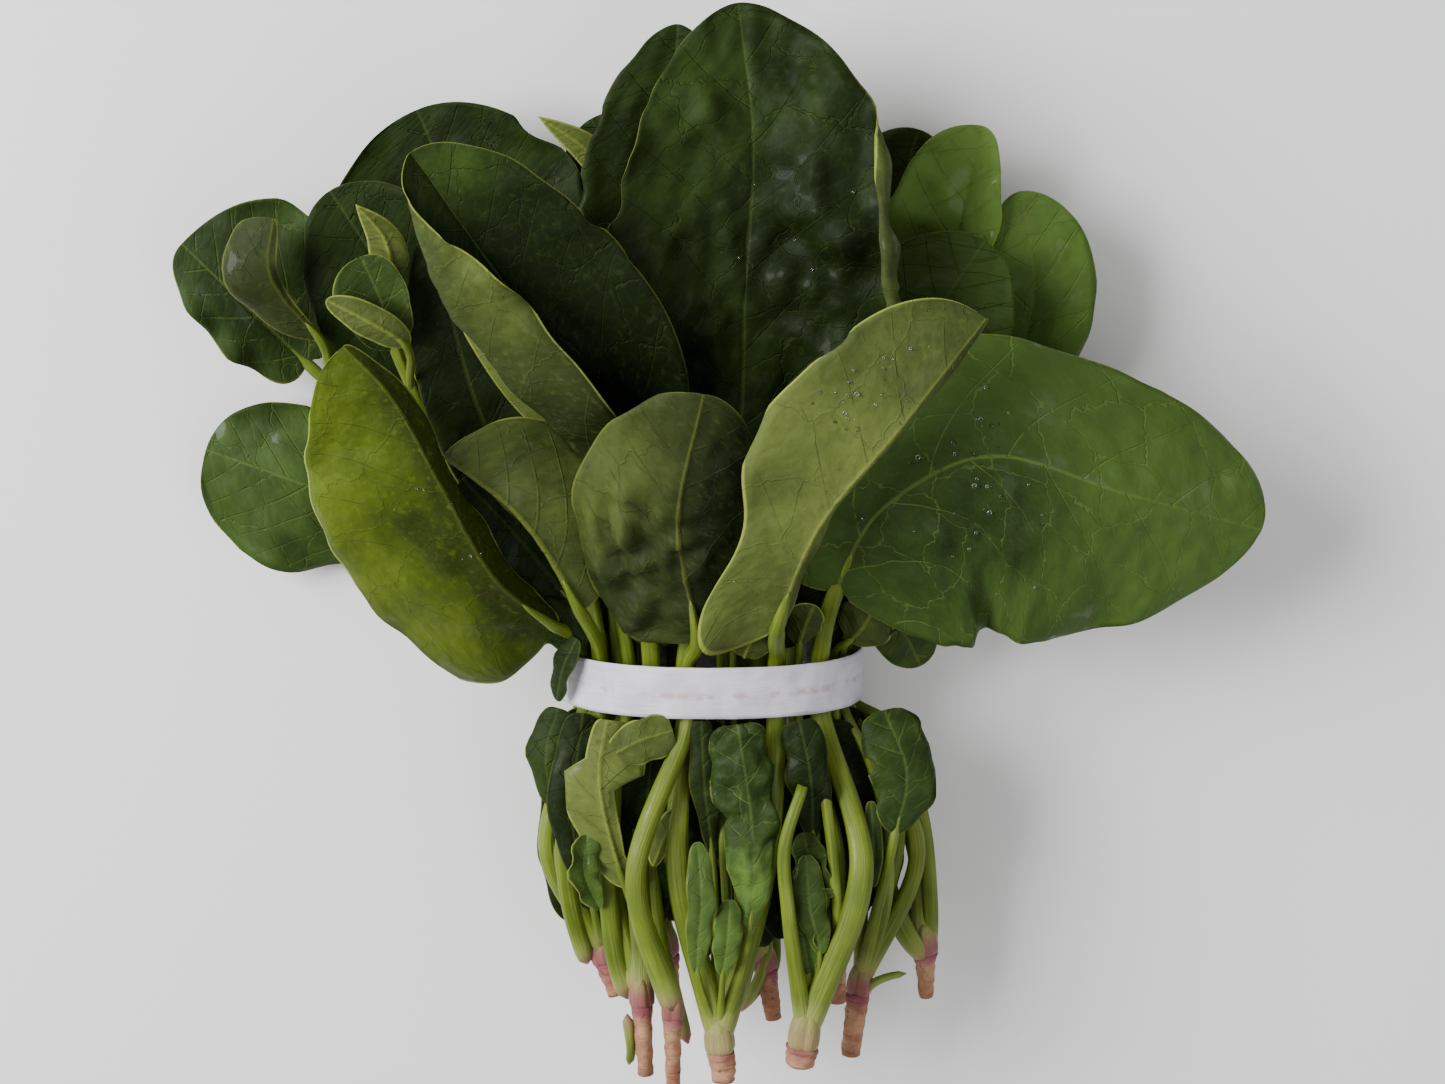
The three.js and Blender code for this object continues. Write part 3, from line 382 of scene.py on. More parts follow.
# Radius at the crown, where it goes through the band if it does, and the knots from the crown up.
INNER_STALKS = {
    "a2": (3.1, (-31.6, 40.4), (-35.7, -84.1, 38), (-40.4, -62, 44), (-41.2, -40.5, 47),
        (-37.9, -16.7, 45)),
    "b2": (3, (-26.2, 37), (-23.8, -91, 48), (-27.6, -74.9, 50), (-29.1, -55.1, 50), (-27.8, -28.6, 46)),
    "b3": (2.6, (-19.4, 31), (-19.6, -93, 45), (-22.3, -78.3, 45), (-22.6, -62.7, 42), (-21, -30.9, 38)),
    "c2": (2.3, (-16.2, 33), (-6.8, -102.9, 52), (-9.9, -92.8, 51), (-15.4, -68.5, 47), (-17, -45.8, 43),
        (-16.2, -14.5, 38)),
    "d2": (1.4, (2.3, 43), (1.2, -96.9, 58), (4.9, -74.1, 57), (3.9, -58.4, 55), (2.7, -35.5, 50)),
    "d3": (1.3, (5.9, 43), (0.4, -98.5, 56), (2.7, -79.4, 56), (6.6, -63.3, 55), (5.9, -43.7, 50)),
    "d4": (2.9, (13, 35), (1.2, -102.6, 54), (9, -79.3, 54), (13, -56.6, 48), (14.5, -29.7, 42)),
    "e2": (1.7, (28.5, 43), (29.1, -92.2, 55), (34.7, -74.5, 56), (33.9, -49.9, 56), (31.5, -30.3, 54)),
    "e3": (2, (23.2, 35), (28, -95, 52), (24, -79.1, 50), (22.1, -61.4, 46), (22.9, -30.3, 40)),
    "f2": (1.6, (36.7, 36.2), (43, -88.6, 42), (49.3, -61.4, 46), (48.7, -40.3, 45), (43.6, -21.6, 42)),
    "f3": (1.8, (38.3, 30.6), (44.8, -89.2, 38), (48.2, -69, 38), (52.8, -49.1, 38), (51.9, -31.5, 36)),
    "g2": (3, (37.3, 28.9), (61.2, -85.3, 31), (54.9, -75.4, 34), (48.3, -57, 34), (44.9, -32.7, 32)),
    "g3": (2.2, (38.1, 27.3), (62.6, -85.5, 28), (62.3, -66, 32), (59.7, -42.8, 34), (51.2, -16.7, 30)),
    "h2": (1.8, (13.1, 25), (8.4, -103.7, 24), (14.9, -89.9, 24), (15.6, -59.5, 26)),
    "h3": (1.5, (15.6, 19), (9.3, -104.3, 20), (13.4, -99, 18), (17.9, -93.6, 16), (17.4, -70.6, 18)),
    "stub": (1.7, None, (-24, -94.1, 52), (-23.5, -99.1, 52), (-23, -105.8, 50), (-23.7, -110.8, 48)),
    "side": (1.4, None, (42.2, -91.8, 43), (45.8, -88.2, 43), (50.6, -86.5, 42), (55.3, -86, 41)),
}


# ---------------------------------------------------------------- lines and blades
def unit(rows):
    return rows / np.linalg.norm(rows, axis=-1, keepdims=True)


def smooth(low, high, x):
    """0 below low, 1 above high and an even rise between them."""
    t = np.clip((x - low) / (high - low), 0, 1)
    return t * t * (3 - 2 * t)


def of_side(w, pair):
    """The first of a pair on a blade's left, where w is below 0, and the second on its right."""
    return np.where(w < 0, pair[0], pair[1])


class Spine:
    """A centripetal curve through knots, read by distance along it."""

    def __init__(self, knots):
        knots = np.array(knots, float)
        chain = np.vstack((2 * knots[0] - knots[1], knots, 2 * knots[-1] - knots[-2]))
        self.spans = len(knots) - 1
        points = [knots[0]]
        for step in range(1, SPINE_SAMPLES + 1):
            place = self.spans * step / SPINE_SAMPLES
            span = min(int(place), self.spans - 1)
            points.append(self.between(chain[span:span + 4], place - span))
        self.points = np.array(points)
        steps = np.linalg.norm(np.diff(self.points, axis=0), axis=1)
        self.reach = np.concatenate(([0], np.cumsum(steps)))
        self.length = self.reach[-1]

    @staticmethod
    def between(four, t):
        a, b, c, d = four
        before, span, after = (np.linalg.norm(q - p) ** 0.5 for p, q in ((a, b), (b, c), (c, d)))
        leave = span * ((b - a) / before - (c - a) / (before + span) + (c - b) / span)
        arrive = span * ((c - b) / span - (d - b) / (span + after) + (d - c) / after)
        cubed = 2 * b - 2 * c + leave + arrive
        squared = -3 * b + 3 * c - 2 * leave - arrive
        return b + leave * t + squared * t * t + cubed * t ** 3

    def reach_of(self, knot):
        return self.reach[round(knot * SPINE_SAMPLES / self.spans)]

    def at(self, distance):
        d = np.clip(distance, 0, self.length)
        return np.stack([np.interp(d, self.reach, self.points[:, k]) for k in range(3)], axis=-1)

    def frame(self, distance, face, share, even=0):
        """Along it, the way the upper side looks and across it; even is how far it is averaged."""
        step = even or TANGENT_STEP
        along = unit(self.at(distance + step) - self.at(distance - step))
        share = np.asarray(share)[..., None]
        look = np.array(face[0]) * (1 - share) + np.array(face[1]) * share
        normal = unit(look - along * np.sum(look * along, axis=-1, keepdims=True))
        return along, normal, np.cross(along, normal)


def spine_of(facts):
    """A leaf's line from its crown to its tip, and how far along it the blade starts."""
    crown = [PLANTS[facts["plant"]]["crown"]] if facts["plant"] else []
    spine = Spine([*crown, *facts["stalk"], *facts["blade"]])
    start = spine.reach_of(len(crown) + len(facts["stalk"])) if facts["blade"] else spine.length
    return spine, start


def rumple(seed, along, across, wave):
    """A smooth uneven field of about -1 to 1, whose bumps are about half a wave across."""
    pick = random.Random(seed)
    total = 0
    for turn in range(7):
        way = math.pi * (turn + pick.uniform(0, 0.8)) / 7
        size = wave * pick.uniform(0.75, 1.35)
        phase = pick.uniform(0, 2 * math.pi)
        run = along * math.cos(way) + across * math.sin(way)
        bend = 0.9 * np.sin(across * 2.1 / wave + phase * 1.7) + 0.9 * np.sin(along * 1.7 / wave - phase)
        total = total + np.sin(2 * math.pi * run / size + phase + bend)
    return total / 3.2


def broad_or_fine(waves, length):
    """The breadth of the bulges on a blade of some length."""
    limit, broad, fine = waves
    return broad if length > limit else fine


def vein_run(along, across, out, sine):
    """Where along the midrib the side vein through a place leaves it; out is how far it is across."""
    run = along - out * VEIN_SLANT - out * out * VEIN_BEND
    for (high, long, phase), way in zip(VEIN_WAVES, (across, along)):
        run = run + sine(way / long + phase) * high
    return run


def side_vein_distance(along, across, gap):
    """How far a place on a blade is from the nearest side vein, which leaves the midrib aslant."""
    run = vein_run(along, across, np.abs(across), np.sin) + np.where(across > 0, gap / 2, 0)
    return np.abs((run / gap - np.round(run / gap)) * gap)


class Blade:
    """A leaf's blade along its midrib. A place is s of the way along it and w, -1 to 1, across."""

    def __init__(self, name, facts, sizes):
        self.name = name
        self.facts = facts
        self.sizes = sizes
        self.spine, self.start = spine_of(facts)
        self.length = self.spine.length - self.start
        self.seed = random.Random(name).randrange(10000)
        self.gap = facts.get("gap", max(6.5, self.length / 6.2))
        self.crease = min(facts["roll"][1], ROLL_CREASE) + 0.01

    def outline(self, s):
        base, tip = self.facts["shape"]
        place, depth = self.facts["waist"]
        widest = base / (base + tip)
        drawn_in = 1 - depth * np.exp(-(((s - place) / WAIST_REACH) ** 2))
        return drawn_in * (s / widest) ** base * ((1 - s) / (1 - widest)) ** tip

    def width(self, s, w):
        """How far each place is from the midrib, how far its margin is, and how much is rolled."""
        fine_tip = self.facts["r"] * 0.5 * np.sqrt(1 - s) + 0.15
        full = np.maximum(of_side(w, self.facts["half"]) * self.outline(s), fine_tip)
        for side, low, high, depth in self.facts["torn"]:
            lost = smooth(low, low + TEAR_RAMP, s) * smooth(high, high - TEAR_RAMP, s)
            full = full * np.where(np.sign(w) == side, 1 - depth * lost, 1)
        full = np.maximum(full, fine_tip)
        side, wide, low, high, fade = self.facts["roll"]
        rolled = smooth(low, low + ROLL_START, s) * smooth(high, high - fade, s)
        roll = wide * rolled * (np.sign(w) == side)
        full = full + roll - np.minimum(roll, self.crease / ROLL_TURN + 1)
        wave = min(TOOTH_WAVE, self.length / 3)
        teeth = rumple(self.seed + 1, s * self.length, of_side(w, (0, 90)), wave) * smooth(2, 12, full)
        ragged = self.facts.get("ragged", self.sizes["ragged"])
        return np.abs(w) * full * np.minimum(1 + ragged * teeth, 1), full, roll

    def turned(self, w, reach, full, roll):
        """How far out and up a side carries each place, and how far the blade has turned there."""
        beyond = np.maximum(reach - (full - roll), 0) * (roll > 0)
        fold = np.radians(of_side(w, self.facts["fold"]))
        bend = np.radians(of_side(w, self.facts["curl"])) / of_side(w, self.facts["half"])
        bend = np.where(np.abs(bend) < 1e-6, 1e-6, bend)
        angle = fold + bend * (reach - beyond)
        creased = np.minimum(beyond, self.crease)
        tight = ROLL_TURN / self.crease
        turned = angle + tight * creased
        out = (np.sin(angle) - np.sin(fold)) / bend + (np.sin(turned) - np.sin(angle)) / tight
        up = (np.cos(fold) - np.cos(angle)) / bend + (np.cos(angle) - np.cos(turned)) / tight
        flap = beyond - creased
        return out + np.cos(turned) * flap, up + np.sin(turned) * flap, turned

    def marks(self, a, b):
        """How dark, brown, pale and crumpled its marks make each place, a along and b across: the
        darkness is some bruises and mostly painted shade, and painted light where it is below 0.
        """
        marks = np.zeros((len(a), 4))
        for along, across, reach_along, reach_across, *amounts in STAINS_AND_PAINTED_LIGHT.get(self.facts["stains"], ()):
            far = ((a - along) / reach_along) ** 2 + ((b - across) / reach_across) ** 2
            marks = marks + np.exp(-far)[:, None] * np.array(amounts)
        return marks

    def lift(self, s, w, b, reach, full, crumple):
        """How high its pucker, creases, waves and wavy margin raise each place, b across."""
        a = s * self.length
        seed = self.seed
        pucker = self.sizes["pucker"] if self.facts["pucker"] is None else self.facts["pucker"]
        calm = smooth(0, 5, full - reach + 1.5) * smooth(0, 0.06, s)
        quilted = 1 - np.exp(-side_vein_distance(a, b, self.gap) / (0.2 * self.gap))
        quilted = quilted - 0.6 + 0.75 * rumple(seed, a, b, self.facts["blister"])
        lift = pucker * smooth(0.5, 6, reach) * calm * quilted
        lift = lift + 0.3 * pucker * calm * rumple(seed + 2, a, b, FINE_WAVE)
        wave = broad_or_fine(CREASE_WAVES, self.length)
        crumpled = rumple(seed + 6, a, b, wave) + 0.5 * rumple(seed + 7, a, b, 0.6 * wave)
        lift = lift + crumple * calm * crumpled
        wave = broad_or_fine(HEAVE_WAVES, self.length)
        heave = self.facts["heave"] * smooth(2, 14, reach) * calm
        lift = lift + heave * rumple(seed + 5, a, b, wave)
        height, waves = self.facts["wave"]
        phase = 2 * math.pi * waves * s + of_side(w, WAVE_PHASE)
        lift = lift + height * w * w * np.sin(phase) * np.sin(math.pi * s)
        broad = smooth(3, 14, full)
        margin = self.sizes["margin_wave"] * np.abs(w) ** 4 * smooth(0, 0.08, s) * broad
        lift = lift + margin * rumple(seed + 3, a, of_side(w, (0, 60)), MARGIN_WAVE)
        lip = LIP_HIGH * smooth(0.93, 1, np.abs(w)) * broad
        lift = lift + lip * rumple(seed + 4, a, of_side(w, (0, 40)), LIP_WAVE)
        return lift - GROOVE_DEEP * np.exp(-((reach / GROOVE_HALF) ** 2)) * (1 - s) ** 0.5

    def lay(self, s, w):
        """Where each place is, which way it looks, its midrib's height and how it lies on the blade."""
        facts = self.facts
        distance = self.start + s * self.length
        along, normal, side = self.spine.frame(distance, facts["face"], s, facts["even"])
        reach, full, roll = self.width(s, w)
        out, up, angle = self.turned(w, reach, full, roll)
        sign = np.sign(w)
        a = s * self.length
        b = sign * reach
        marks = self.marks(a, b)
        facing = unit(normal * np.cos(angle)[:, None] - side * (sign * np.sin(angle))[:, None])
        back = facts["lobe"] * reach * w * w * (1 - s) ** 2
        spot = self.spine.at(distance) + side * (sign * out)[:, None] + normal * up[:, None]
        lift = self.lift(s, w, b, reach, full, marks[:, 3])
        spot = spot + facing * lift[:, None] - along * back[:, None]
        taper = (1 - s) ** 0.8
        rib_half = facts["rib"] * (facts["r"] * 0.72 * taper + 0.3)
        rib_high = facts["rib"] * (facts["r"] * 0.75 * taper + 0.1)
        rib = rib_high * np.sqrt(np.clip(1 - (reach / rib_half) ** 2, 0, 1))
        place = np.stack((b, a, full - reach), axis=-1)
        growth = np.stack((rib_half, np.full_like(a, self.gap), np.full_like(a, facts["tint"])), axis=-1)
        return spot, facing, rib, place, growth, marks[:, :3]

    def mesh(self):
        """A closed thin blade: a sheet given two faces and a rim, then laid along its midrib."""
        cell, thick = self.sizes["cell"], self.sizes["thick"]
        columns = 2 * int(np.clip(sum(self.facts["half"]) / cell / 2, 8, 42))
        rows = int(np.clip(self.length / cell, 20, 108))
        sheet = bmesh.new()
        bmesh.ops.create_grid(sheet, x_segments=columns, y_segments=rows, size=1)
        bmesh.ops.solidify(sheet, geom=sheet.faces[:], thickness=0.02)
        mesh = finish_body(sheet, self.name)
        flat = read_rows(mesh.vertices, "co")
        upper_face = read_rows(mesh.polygons, "normal")[:, 2] > 0.5
        mesh.polygons.foreach_set("material_index", np.where(upper_face, 0, 1).astype(np.int32))
        upper = flat[:, 2] > (flat[:, 2].min() + flat[:, 2].max()) / 2
        x, y = np.clip(flat[:, :2], -1, 1).T
        w = np.sign(x) * np.abs(x) ** 1.5
        s = np.clip(0.5 - 0.5 * np.cos(math.pi * (y + 1) / 2), 0.0006, 0.9994)
        spot, facing, rib, place, growth, marks = self.lay(s, w)
        half_thick = thick / 2 * (0.45 + 0.55 * smooth(0, 2, place[:, 2]))
        points = spot + facing * np.where(upper, half_thick, -half_thick - rib)[:, None]
        points[:, 2] = np.maximum(points[:, 2], np.where(upper, thick + FLOOR, FLOOR))
        mesh.vertices.foreach_set("co", (points * MM).astype(np.float32).ravel())
        for layer, values in (("place", place), ("growth", growth), ("marks", marks)):
            store(mesh, layer, values)
        mesh.update()
        return mesh


# ---------------------------------------------------------------- meshes
def read_rows(things, name):
    rows = np.empty(len(things) * 3, np.float32)
    things.foreach_get(name, rows)
    return rows.reshape(-1, 3).astype(float)


def store(mesh, name, rows):
    layer = mesh.attributes.new(name, "FLOAT_VECTOR", "POINT")
    layer.data.foreach_set("vector", np.asarray(rows, np.float32).ravel())


def new_body():
    body = bmesh.new()
    for name in ("place", "growth"):
        body.verts.layers.float_vector.new(name)
    return body


def finish_body(body, name):
    bmesh.ops.recalc_face_normals(body, faces=body.faces[:])
    mesh = bpy.data.meshes.new(name)
    body.to_mesh(mesh)
    body.free()
    return mesh


def mesh_object(name, mesh, finishes, node_names=()):
    """A finished piece, on the body, in place of the nodes named."""
    piece = bpy.data.objects.new(name, mesh)
    bpy.context.scene.collection.objects.link(piece)
    for finish in finishes:
        mesh.materials.append(finish)
    mesh.shade_smooth()
    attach(piece, "root")
    if node_names:
        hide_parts(*node_names)
    return piece


def add_tube(body, spine, end, radius_of, look, marks, sink_of=np.zeros_like):
    """Adds a closed tube round a spine; radius_of gives radii for distances and turns round it."""
    rows = max(4, round(end / TUBE_STEP))
    made = bmesh.ops.create_grid(body, x_segments=TUBE_SIDES, y_segments=rows, size=1)["verts"]
    flat = np.array([v.co[:] for v in made])
    turn = math.pi * (flat[:, 0] + 1)
    share = np.clip((flat[:, 1] + 1) / 2, 0, 1)
    distance = share * end
    normal, side = spine.frame(distance, (look, look), 0 * share)[1:]
    radius = radius_of(distance, turn)
    x = radius * np.cos(turn)
    y = radius * np.sin(turn)
    points = spine.at(distance) + side * x[:, None] + normal * (y - sink_of(distance))[:, None]
    points[:, 2] = np.maximum(points[:, 2], FLOOR)
    place, growth = (body.verts.layers.float_vector[k] for k in ("place", "growth"))
    for vert, point, px, py, d in zip(made, points * MM, x, y, distance):
        vert.co = point
        vert[place] = (px, py, d)
        vert[growth] = (d / max(end, 1), *marks)
    bmesh.ops.remove_doubles(body, verts=made, dist=1e-7)
    bmesh.ops.holes_fill(body, edges=[e for e in body.edges if e.is_boundary], sides=0)


def add_turned(body, profile, origin, axis, steps, shape, marks, sense):
    """Spins a profile of (radius, distance) round an axis; shape moves each point afterwards."""
    tilt = Vector(UP).rotation_difference(Vector(axis).normalized())
    verts = [body.verts.new((radius, 0, far)) for radius, far in profile]
    edges = [body.edges.new(pair) for pair in zip(verts, verts[1:])]
    before = set(body.verts) - set(verts)
    bmesh.ops.spin(
        body, geom=verts + edges, cent=(0, 0, 0), axis=UP, dvec=(0, 0, 0), angle=2 * math.pi,
        steps=steps, use_merge=True)
    made = [v for v in body.verts if v not in before]
    bmesh.ops.remove_doubles(body, verts=made, dist=1e-4)
    place, growth = (body.verts.layers.float_vector[k] for k in ("place", "growth"))
    for vert in (v for v in body.verts if v not in before):
        here = vert.co.copy()
        vert[place] = (here.x, here.y, here.z * sense)
        vert[growth] = (here.z / profile[-1][1], *marks)
        point = Vector(origin) + tilt @ shape(here)
        point.z = max(point.z, FLOOR)
        vert.co = point * MM


def swell(point, amount):
    """A point moved out from the axis it is turned round, or in, by a share of its distance."""
    return Vector((point.x * amount, point.y * amount, point.z))


def groove(turn, deep, half):
    """The share of a stalk's radius that is left where a groove runs down it at a turn of 0."""
    return 1 - deep * np.exp(-((np.angle(np.exp(1j * turn)) / half) ** 2))


# ---------------------------------------------------------------- finishes
class Value:
    """A number that varies over a surface; sums written with it add Math nodes."""

    def __init__(self, finish, socket):
        self.finish = finish
        self.socket = socket

    def math(self, operation, other=None, first=None):
        """The result of a Math node on this value, or on a first one with this value after it."""
        values = [value for value in (first, self, other) if value is not None]
        return self.finish.node("ShaderNodeMath", {"operation": operation}, dict(enumerate(values)))

    def __add__(self, other):
        return self.math("ADD", other)

    def __radd__(self, other):
        return self.math("ADD", other)

    def __sub__(self, other):
        return self.math("SUBTRACT", other)

    def __rsub__(self, other):
        return self.math("SUBTRACT", first=other)

    def __mul__(self, other):
        return self.math("MULTIPLY", other)

    def __rmul__(self, other):
        return self.math("MULTIPLY", other)

    def __truediv__(self, other):
        return self.math("DIVIDE", other)

    def size(self):
        return self.math("ABSOLUTE")

    def wave(self):
        return self.math("SINE")

    def above(self, edge):
        return self.math("GREATER_THAN", edge)

    def rise(self, low, high, first=0, last=1):
        """first below low, last above high and an even rise between them; the bounds may vary too."""
        inputs = {"Value": self, "From Min": low, "From Max": high, "To Min": first, "To Max": last}
        return self.finish.node("ShaderNodeMapRange", {"interpolation_type": "SMOOTHSTEP"}, inputs)


class Finish:
    """A material with one Principled shader, built from named fields of the surface."""

    def __init__(self, name, constants):
        self.material = bpy.data.materials.new(name)
        self.material.use_nodes = True
        self.nodes = self.material.node_tree.nodes
        self.links = self.material.node_tree.links
        self.nodes.clear()
        output = self.nodes.new("ShaderNodeOutputMaterial")
        self.shader = self.nodes.new("ShaderNodeBsdfPrincipled")
        self.links.new(self.shader.outputs[0], output.inputs["Surface"])
        for socket, value in constants.items():
            self.feed(socket, value)

    def put(self, socket, value):
        if isinstance(value, Value):
            self.links.new(value.socket, socket)
        elif socket.type == "RGBA" and len(value) == 3:
            socket.default_value = (*value, 1)
        else:
            socket.default_value = value

    def node(self, kind, settings, inputs, output=0):
        made = self.nodes.new(kind)
        for name, value in settings.items():
            setattr(made, name, value)
        for name, value in inputs.items():
            self.put(made.inputs[name], value)
        return Value(self, made.outputs[output])

    def feed(self, socket, value):
        self.put(self.shader.inputs[socket], value)

    def attribute(self, name):
        return self.node("ShaderNodeAttribute", {"attribute_name": name}, {}, "Vector")

    def split(self, vector):
        made = self.nodes.new("ShaderNodeSeparateXYZ")
        self.put(made.inputs[0], vector)
        return [Value(self, made.outputs[k]) for k in range(3)]

    def join(self, x, y, z=0):
        return self.node("ShaderNodeCombineXYZ", {}, {0: x, 1: y, 2: z})

    def stretch(self, vector, factors):
        return self.node("ShaderNodeVectorMath", {"operation": "MULTIPLY"}, {0: vector, 1: factors})

    def shift(self, vector, other):
        return self.node("ShaderNodeVectorMath", {"operation": "ADD"}, {0: vector, 1: other})

    def mix(self, factor, first, second):
        return self.node("ShaderNodeMix", {"data_type": "RGBA"}, {0: factor, 6: first, 7: second}, 2)

    def paint(self, colour, *coats):
        """Lays coats of (factor, colour) over a colour, one after another, and feeds the result."""
        for factor, coat in coats:
            colour = self.mix(factor, colour, coat)
        self.feed("Base Color", colour)

    def noise(self, vector, scale, detail=3, rough=0.5, output=0):
        inputs = {"Vector": vector, "Scale": scale, "Detail": detail, "Roughness": rough}
        return self.node("ShaderNodeTexNoise", {}, inputs, output)

    def cells(self, vector, scale):
        settings = {"feature": "DISTANCE_TO_EDGE", "voronoi_dimensions": "2D"}
        return self.node("ShaderNodeTexVoronoi", settings, {"Vector": vector, "Scale": scale})

    def bump(self, height, distance):
        inputs = {"Height": height, "Distance": distance * MM, "Strength": 1}
        self.feed("Normal", self.node("ShaderNodeBump", {}, inputs))


def blade_finish(name, look):
    """A side of a leaf blade: midrib, side veins, nets of fine veins, a pale margin and wet patches."""
    finish = Finish(name, {
        "IOR": 1.45, "Coat Roughness": 0.12, "Coat IOR": 1.33, "Specular IOR Level": look["shine"]})
    place = finish.attribute("place")
    across, along, edge = finish.split(place)
    rib, gap, tint = finish.split(finish.attribute("growth"))
    # The marks' dark is mostly painted shade, painted light where it is below 0, and some bruises.
    dark, brown, pale = finish.split(finish.attribute("marks"))
    own = finish.shift(place, finish.join(tint * 731 + rib * 97, tint * 417 + gap * 31))
    cloud = finish.noise(own, 0.045, 4, 0.55)
    fleck = finish.noise(own, 0.35, 4, 0.6)
    wander = finish.noise(own, 0.09, 3, 0.6, output=1)
    grain = finish.noise(own, 1.6, 3, 0.6)
    broken = finish.noise(own, 0.5, 5, 0.75)
    soft = finish.noise(own, 0.22, 5, 0.65)
    out = across.size()
    run = vein_run(along, across, out, Value.wave) + across.above(0) * gap * 0.5
    side_vein = gap * 0.5 - (run + gap * 0.5).math("PINGPONG", gap * 0.5)
    width = out.rise(0, 34, look["vein_width"], look["vein_width"] * 0.4)
    side_line = 1 - side_vein.rise(width, width * 1.9 + 0.12)
    side_line = side_line * finish.noise(own, 0.12, 3, 0.6).rise(0.35, 0.55) * edge.rise(0.5, 5)
    broad, fine = (
        finish.cells(finish.shift(own, finish.stretch(wander, (bend, bend, 0))), 1 / size)
        for bend, size in ((9, look["net"]), (5, 4.2)))
    broad_line = 1 - broad.rise(0.006, 0.022)
    fine_line = 1 - fine.rise(0.02, 0.1)
    rib_edge = rib * look["rib_width"]
    rib_line = 1 - out.rise(rib_edge, rib_edge + 0.5)
    margin = 1 - edge.rise(look["margin_width"] * 0.4, look["margin_width"])
    # shade mixes the blade's tone and random clouds with the painted shade and painted light of its
    # stains.
    shade = tint + (cloud - 0.5) * look["clouds"] - dark * (soft + 0.4)
    scar = finish.noise(own, 0.16, 5, 0.7).rise(0.69, 0.74)
    pale_part = (soft + pale * 0.6).rise(0.75, 1.1) * pale.rise(0, 0.3)
    brown_part = (broken + brown * 0.4).rise(0.72, 0.86) * brown.rise(0, 0.2)
    speck = finish.noise(own, 0.9, 3, 0.7).rise(0.74, 0.78)
    finish.paint(
        look["deep"],
        (shade.rise(0, 1), look["light"]),
        # Where shade falls below 0, the painted shade colour.
        (shade.rise(0, -0.7) * 0.75, look["shade"]),
        (fleck.rise(0.52, 0.75) * look["flecks"], look["light"]),
        (fleck.rise(0.5, 0.25) * look["flecks"], look["deep"]),
        (fine_line * look["fine_strength"], look["vein"]),
        (broad_line * look["net_strength"], look["vein"]),
        (side_line * look["side_strength"], look["vein"]),
        (rib_line * look["rib_strength"], look["rib"]),
        (scar * look["scars"], look["scar"]),
        (pale_part * 0.55, look["scuff"]),
        (brown_part * 0.75, look["scar"]),
        (speck * 0.5, look["shade"]),
        (margin * look["margin_strength"], look["margin"]))
    wet = finish.noise(own, 0.07, 3, 0.5).rise(0.56, 0.62) * look["wet"]
    finish.feed("Roughness", look["rough"] + (grain - 0.5) * 0.25 - wet * 0.25)
    finish.feed("Coat Weight", wet * 0.8)
    veins = (side_line + broad_line * 0.6) * look["relief"]
    finish.bump(fine * look["blister"] + grain * 0.12 + veins, 0.5)
    return finish.material


def stalk_finish(name, settings):
    """A stalk's skin: pale strings along it, a cream foot, a pink blush at the crown and soil."""
    finish = Finish(name, {"IOR": 1.4, "Coat Roughness": 0.2, "Specular IOR Level": 0.3})
    place = finish.attribute("place")
    along = finish.split(place)[2]
    share, pink, tint = finish.split(finish.attribute("growth"))
    own = finish.shift(place, finish.join(tint * 311, tint * 173, tint * 97))
    streak = finish.noise(finish.stretch(own, (1.1, 1.1, 0.035)), 1, 4, 0.6)
    thread = finish.noise(finish.stretch(own, (3.2, 3.2, 0.05)), 1, 3, 0.6)
    cloud = finish.noise(own, 0.05, 3, 0.5)
    green = finish.mix(cloud.rise(0.3, 0.7), settings.stalk_green, settings.stalk_lime)
    green = finish.mix(share.rise(0.45, 1) * 0.5, green, settings.stalk_green)
    blush = (along + (cloud - 0.5) * 6 + (streak - 0.5) * 3).rise(-1, 7, 1, 0) * pink
    crease = finish.noise(finish.stretch(own, (0.9, 0.9, 0.05)), 1, 3, 0.7).rise(0.42, 0.3)
    finish.paint(
        settings.stalk_cream,
        ((along + (cloud - 0.5) * 12).rise(-3, 13), green),
        (streak.rise(0.42, 0.7) * 0.4, settings.stalk_pale),
        (thread.rise(0.55, 0.3) * 0.35, settings.stalk_shade),
        (blush * 0.85, settings.crown_pink),
        (crease * along.rise(8, 0) * 0.5, settings.stalk_shade),
        (finish.noise(own, 0.55, 5, 0.75).rise(0.66, 0.74) * 0.6, settings.soil),
        (finish.noise(own, 1.1, 4, 0.7).rise(0.72, 0.76) * 0.7, settings.soil))
    finish.feed("Roughness", 0.46 + (streak - 0.5) * 0.3)
    finish.feed("Coat Weight", cloud.rise(0.52, 0.64) * 0.3)
    finish.bump(streak * 0.8 + thread * 0.5, 0.35)
    return finish.material


def root_finish(name, settings):
    """A root's skin: tan rings and soil under a pink neck."""
    finish = Finish(name, {"IOR": 1.4, "Specular IOR Level": 0.35})
    place = finish.attribute("place")
    along = finish.split(place)[2]
    share, pink, tint = finish.split(finish.attribute("growth"))
    own = finish.shift(place, finish.join(tint * 211, tint * 73, tint * 151))
    ring = finish.noise(finish.stretch(own, (0.12, 0.12, 1.5)), 1, 4, 0.6)
    cloud = finish.noise(own, 0.16, 4, 0.6)
    dirt = finish.noise(own, 0.6, 5, 0.7)
    finish.paint(
        settings.root_tan,
        (cloud.rise(0.35, 0.65), settings.root_pale),
        ((along + (cloud - 0.5) * 5).rise(-0.5, 5, 1, 0) * pink * 0.8, settings.crown_pink),
        (ring.rise(0.55, 0.7) * 0.5, settings.soil),
        (dirt.rise(0.58, 0.68) * 0.75, settings.soil),
        (share.rise(0.8, 1) * cloud.rise(0.35, 0.6) * 0.7, settings.soil))
    finish.feed("Roughness", 0.62 + (cloud - 0.5) * 0.3)
    finish.bump(ring + dirt * 0.5, 0.5)
    return finish.material


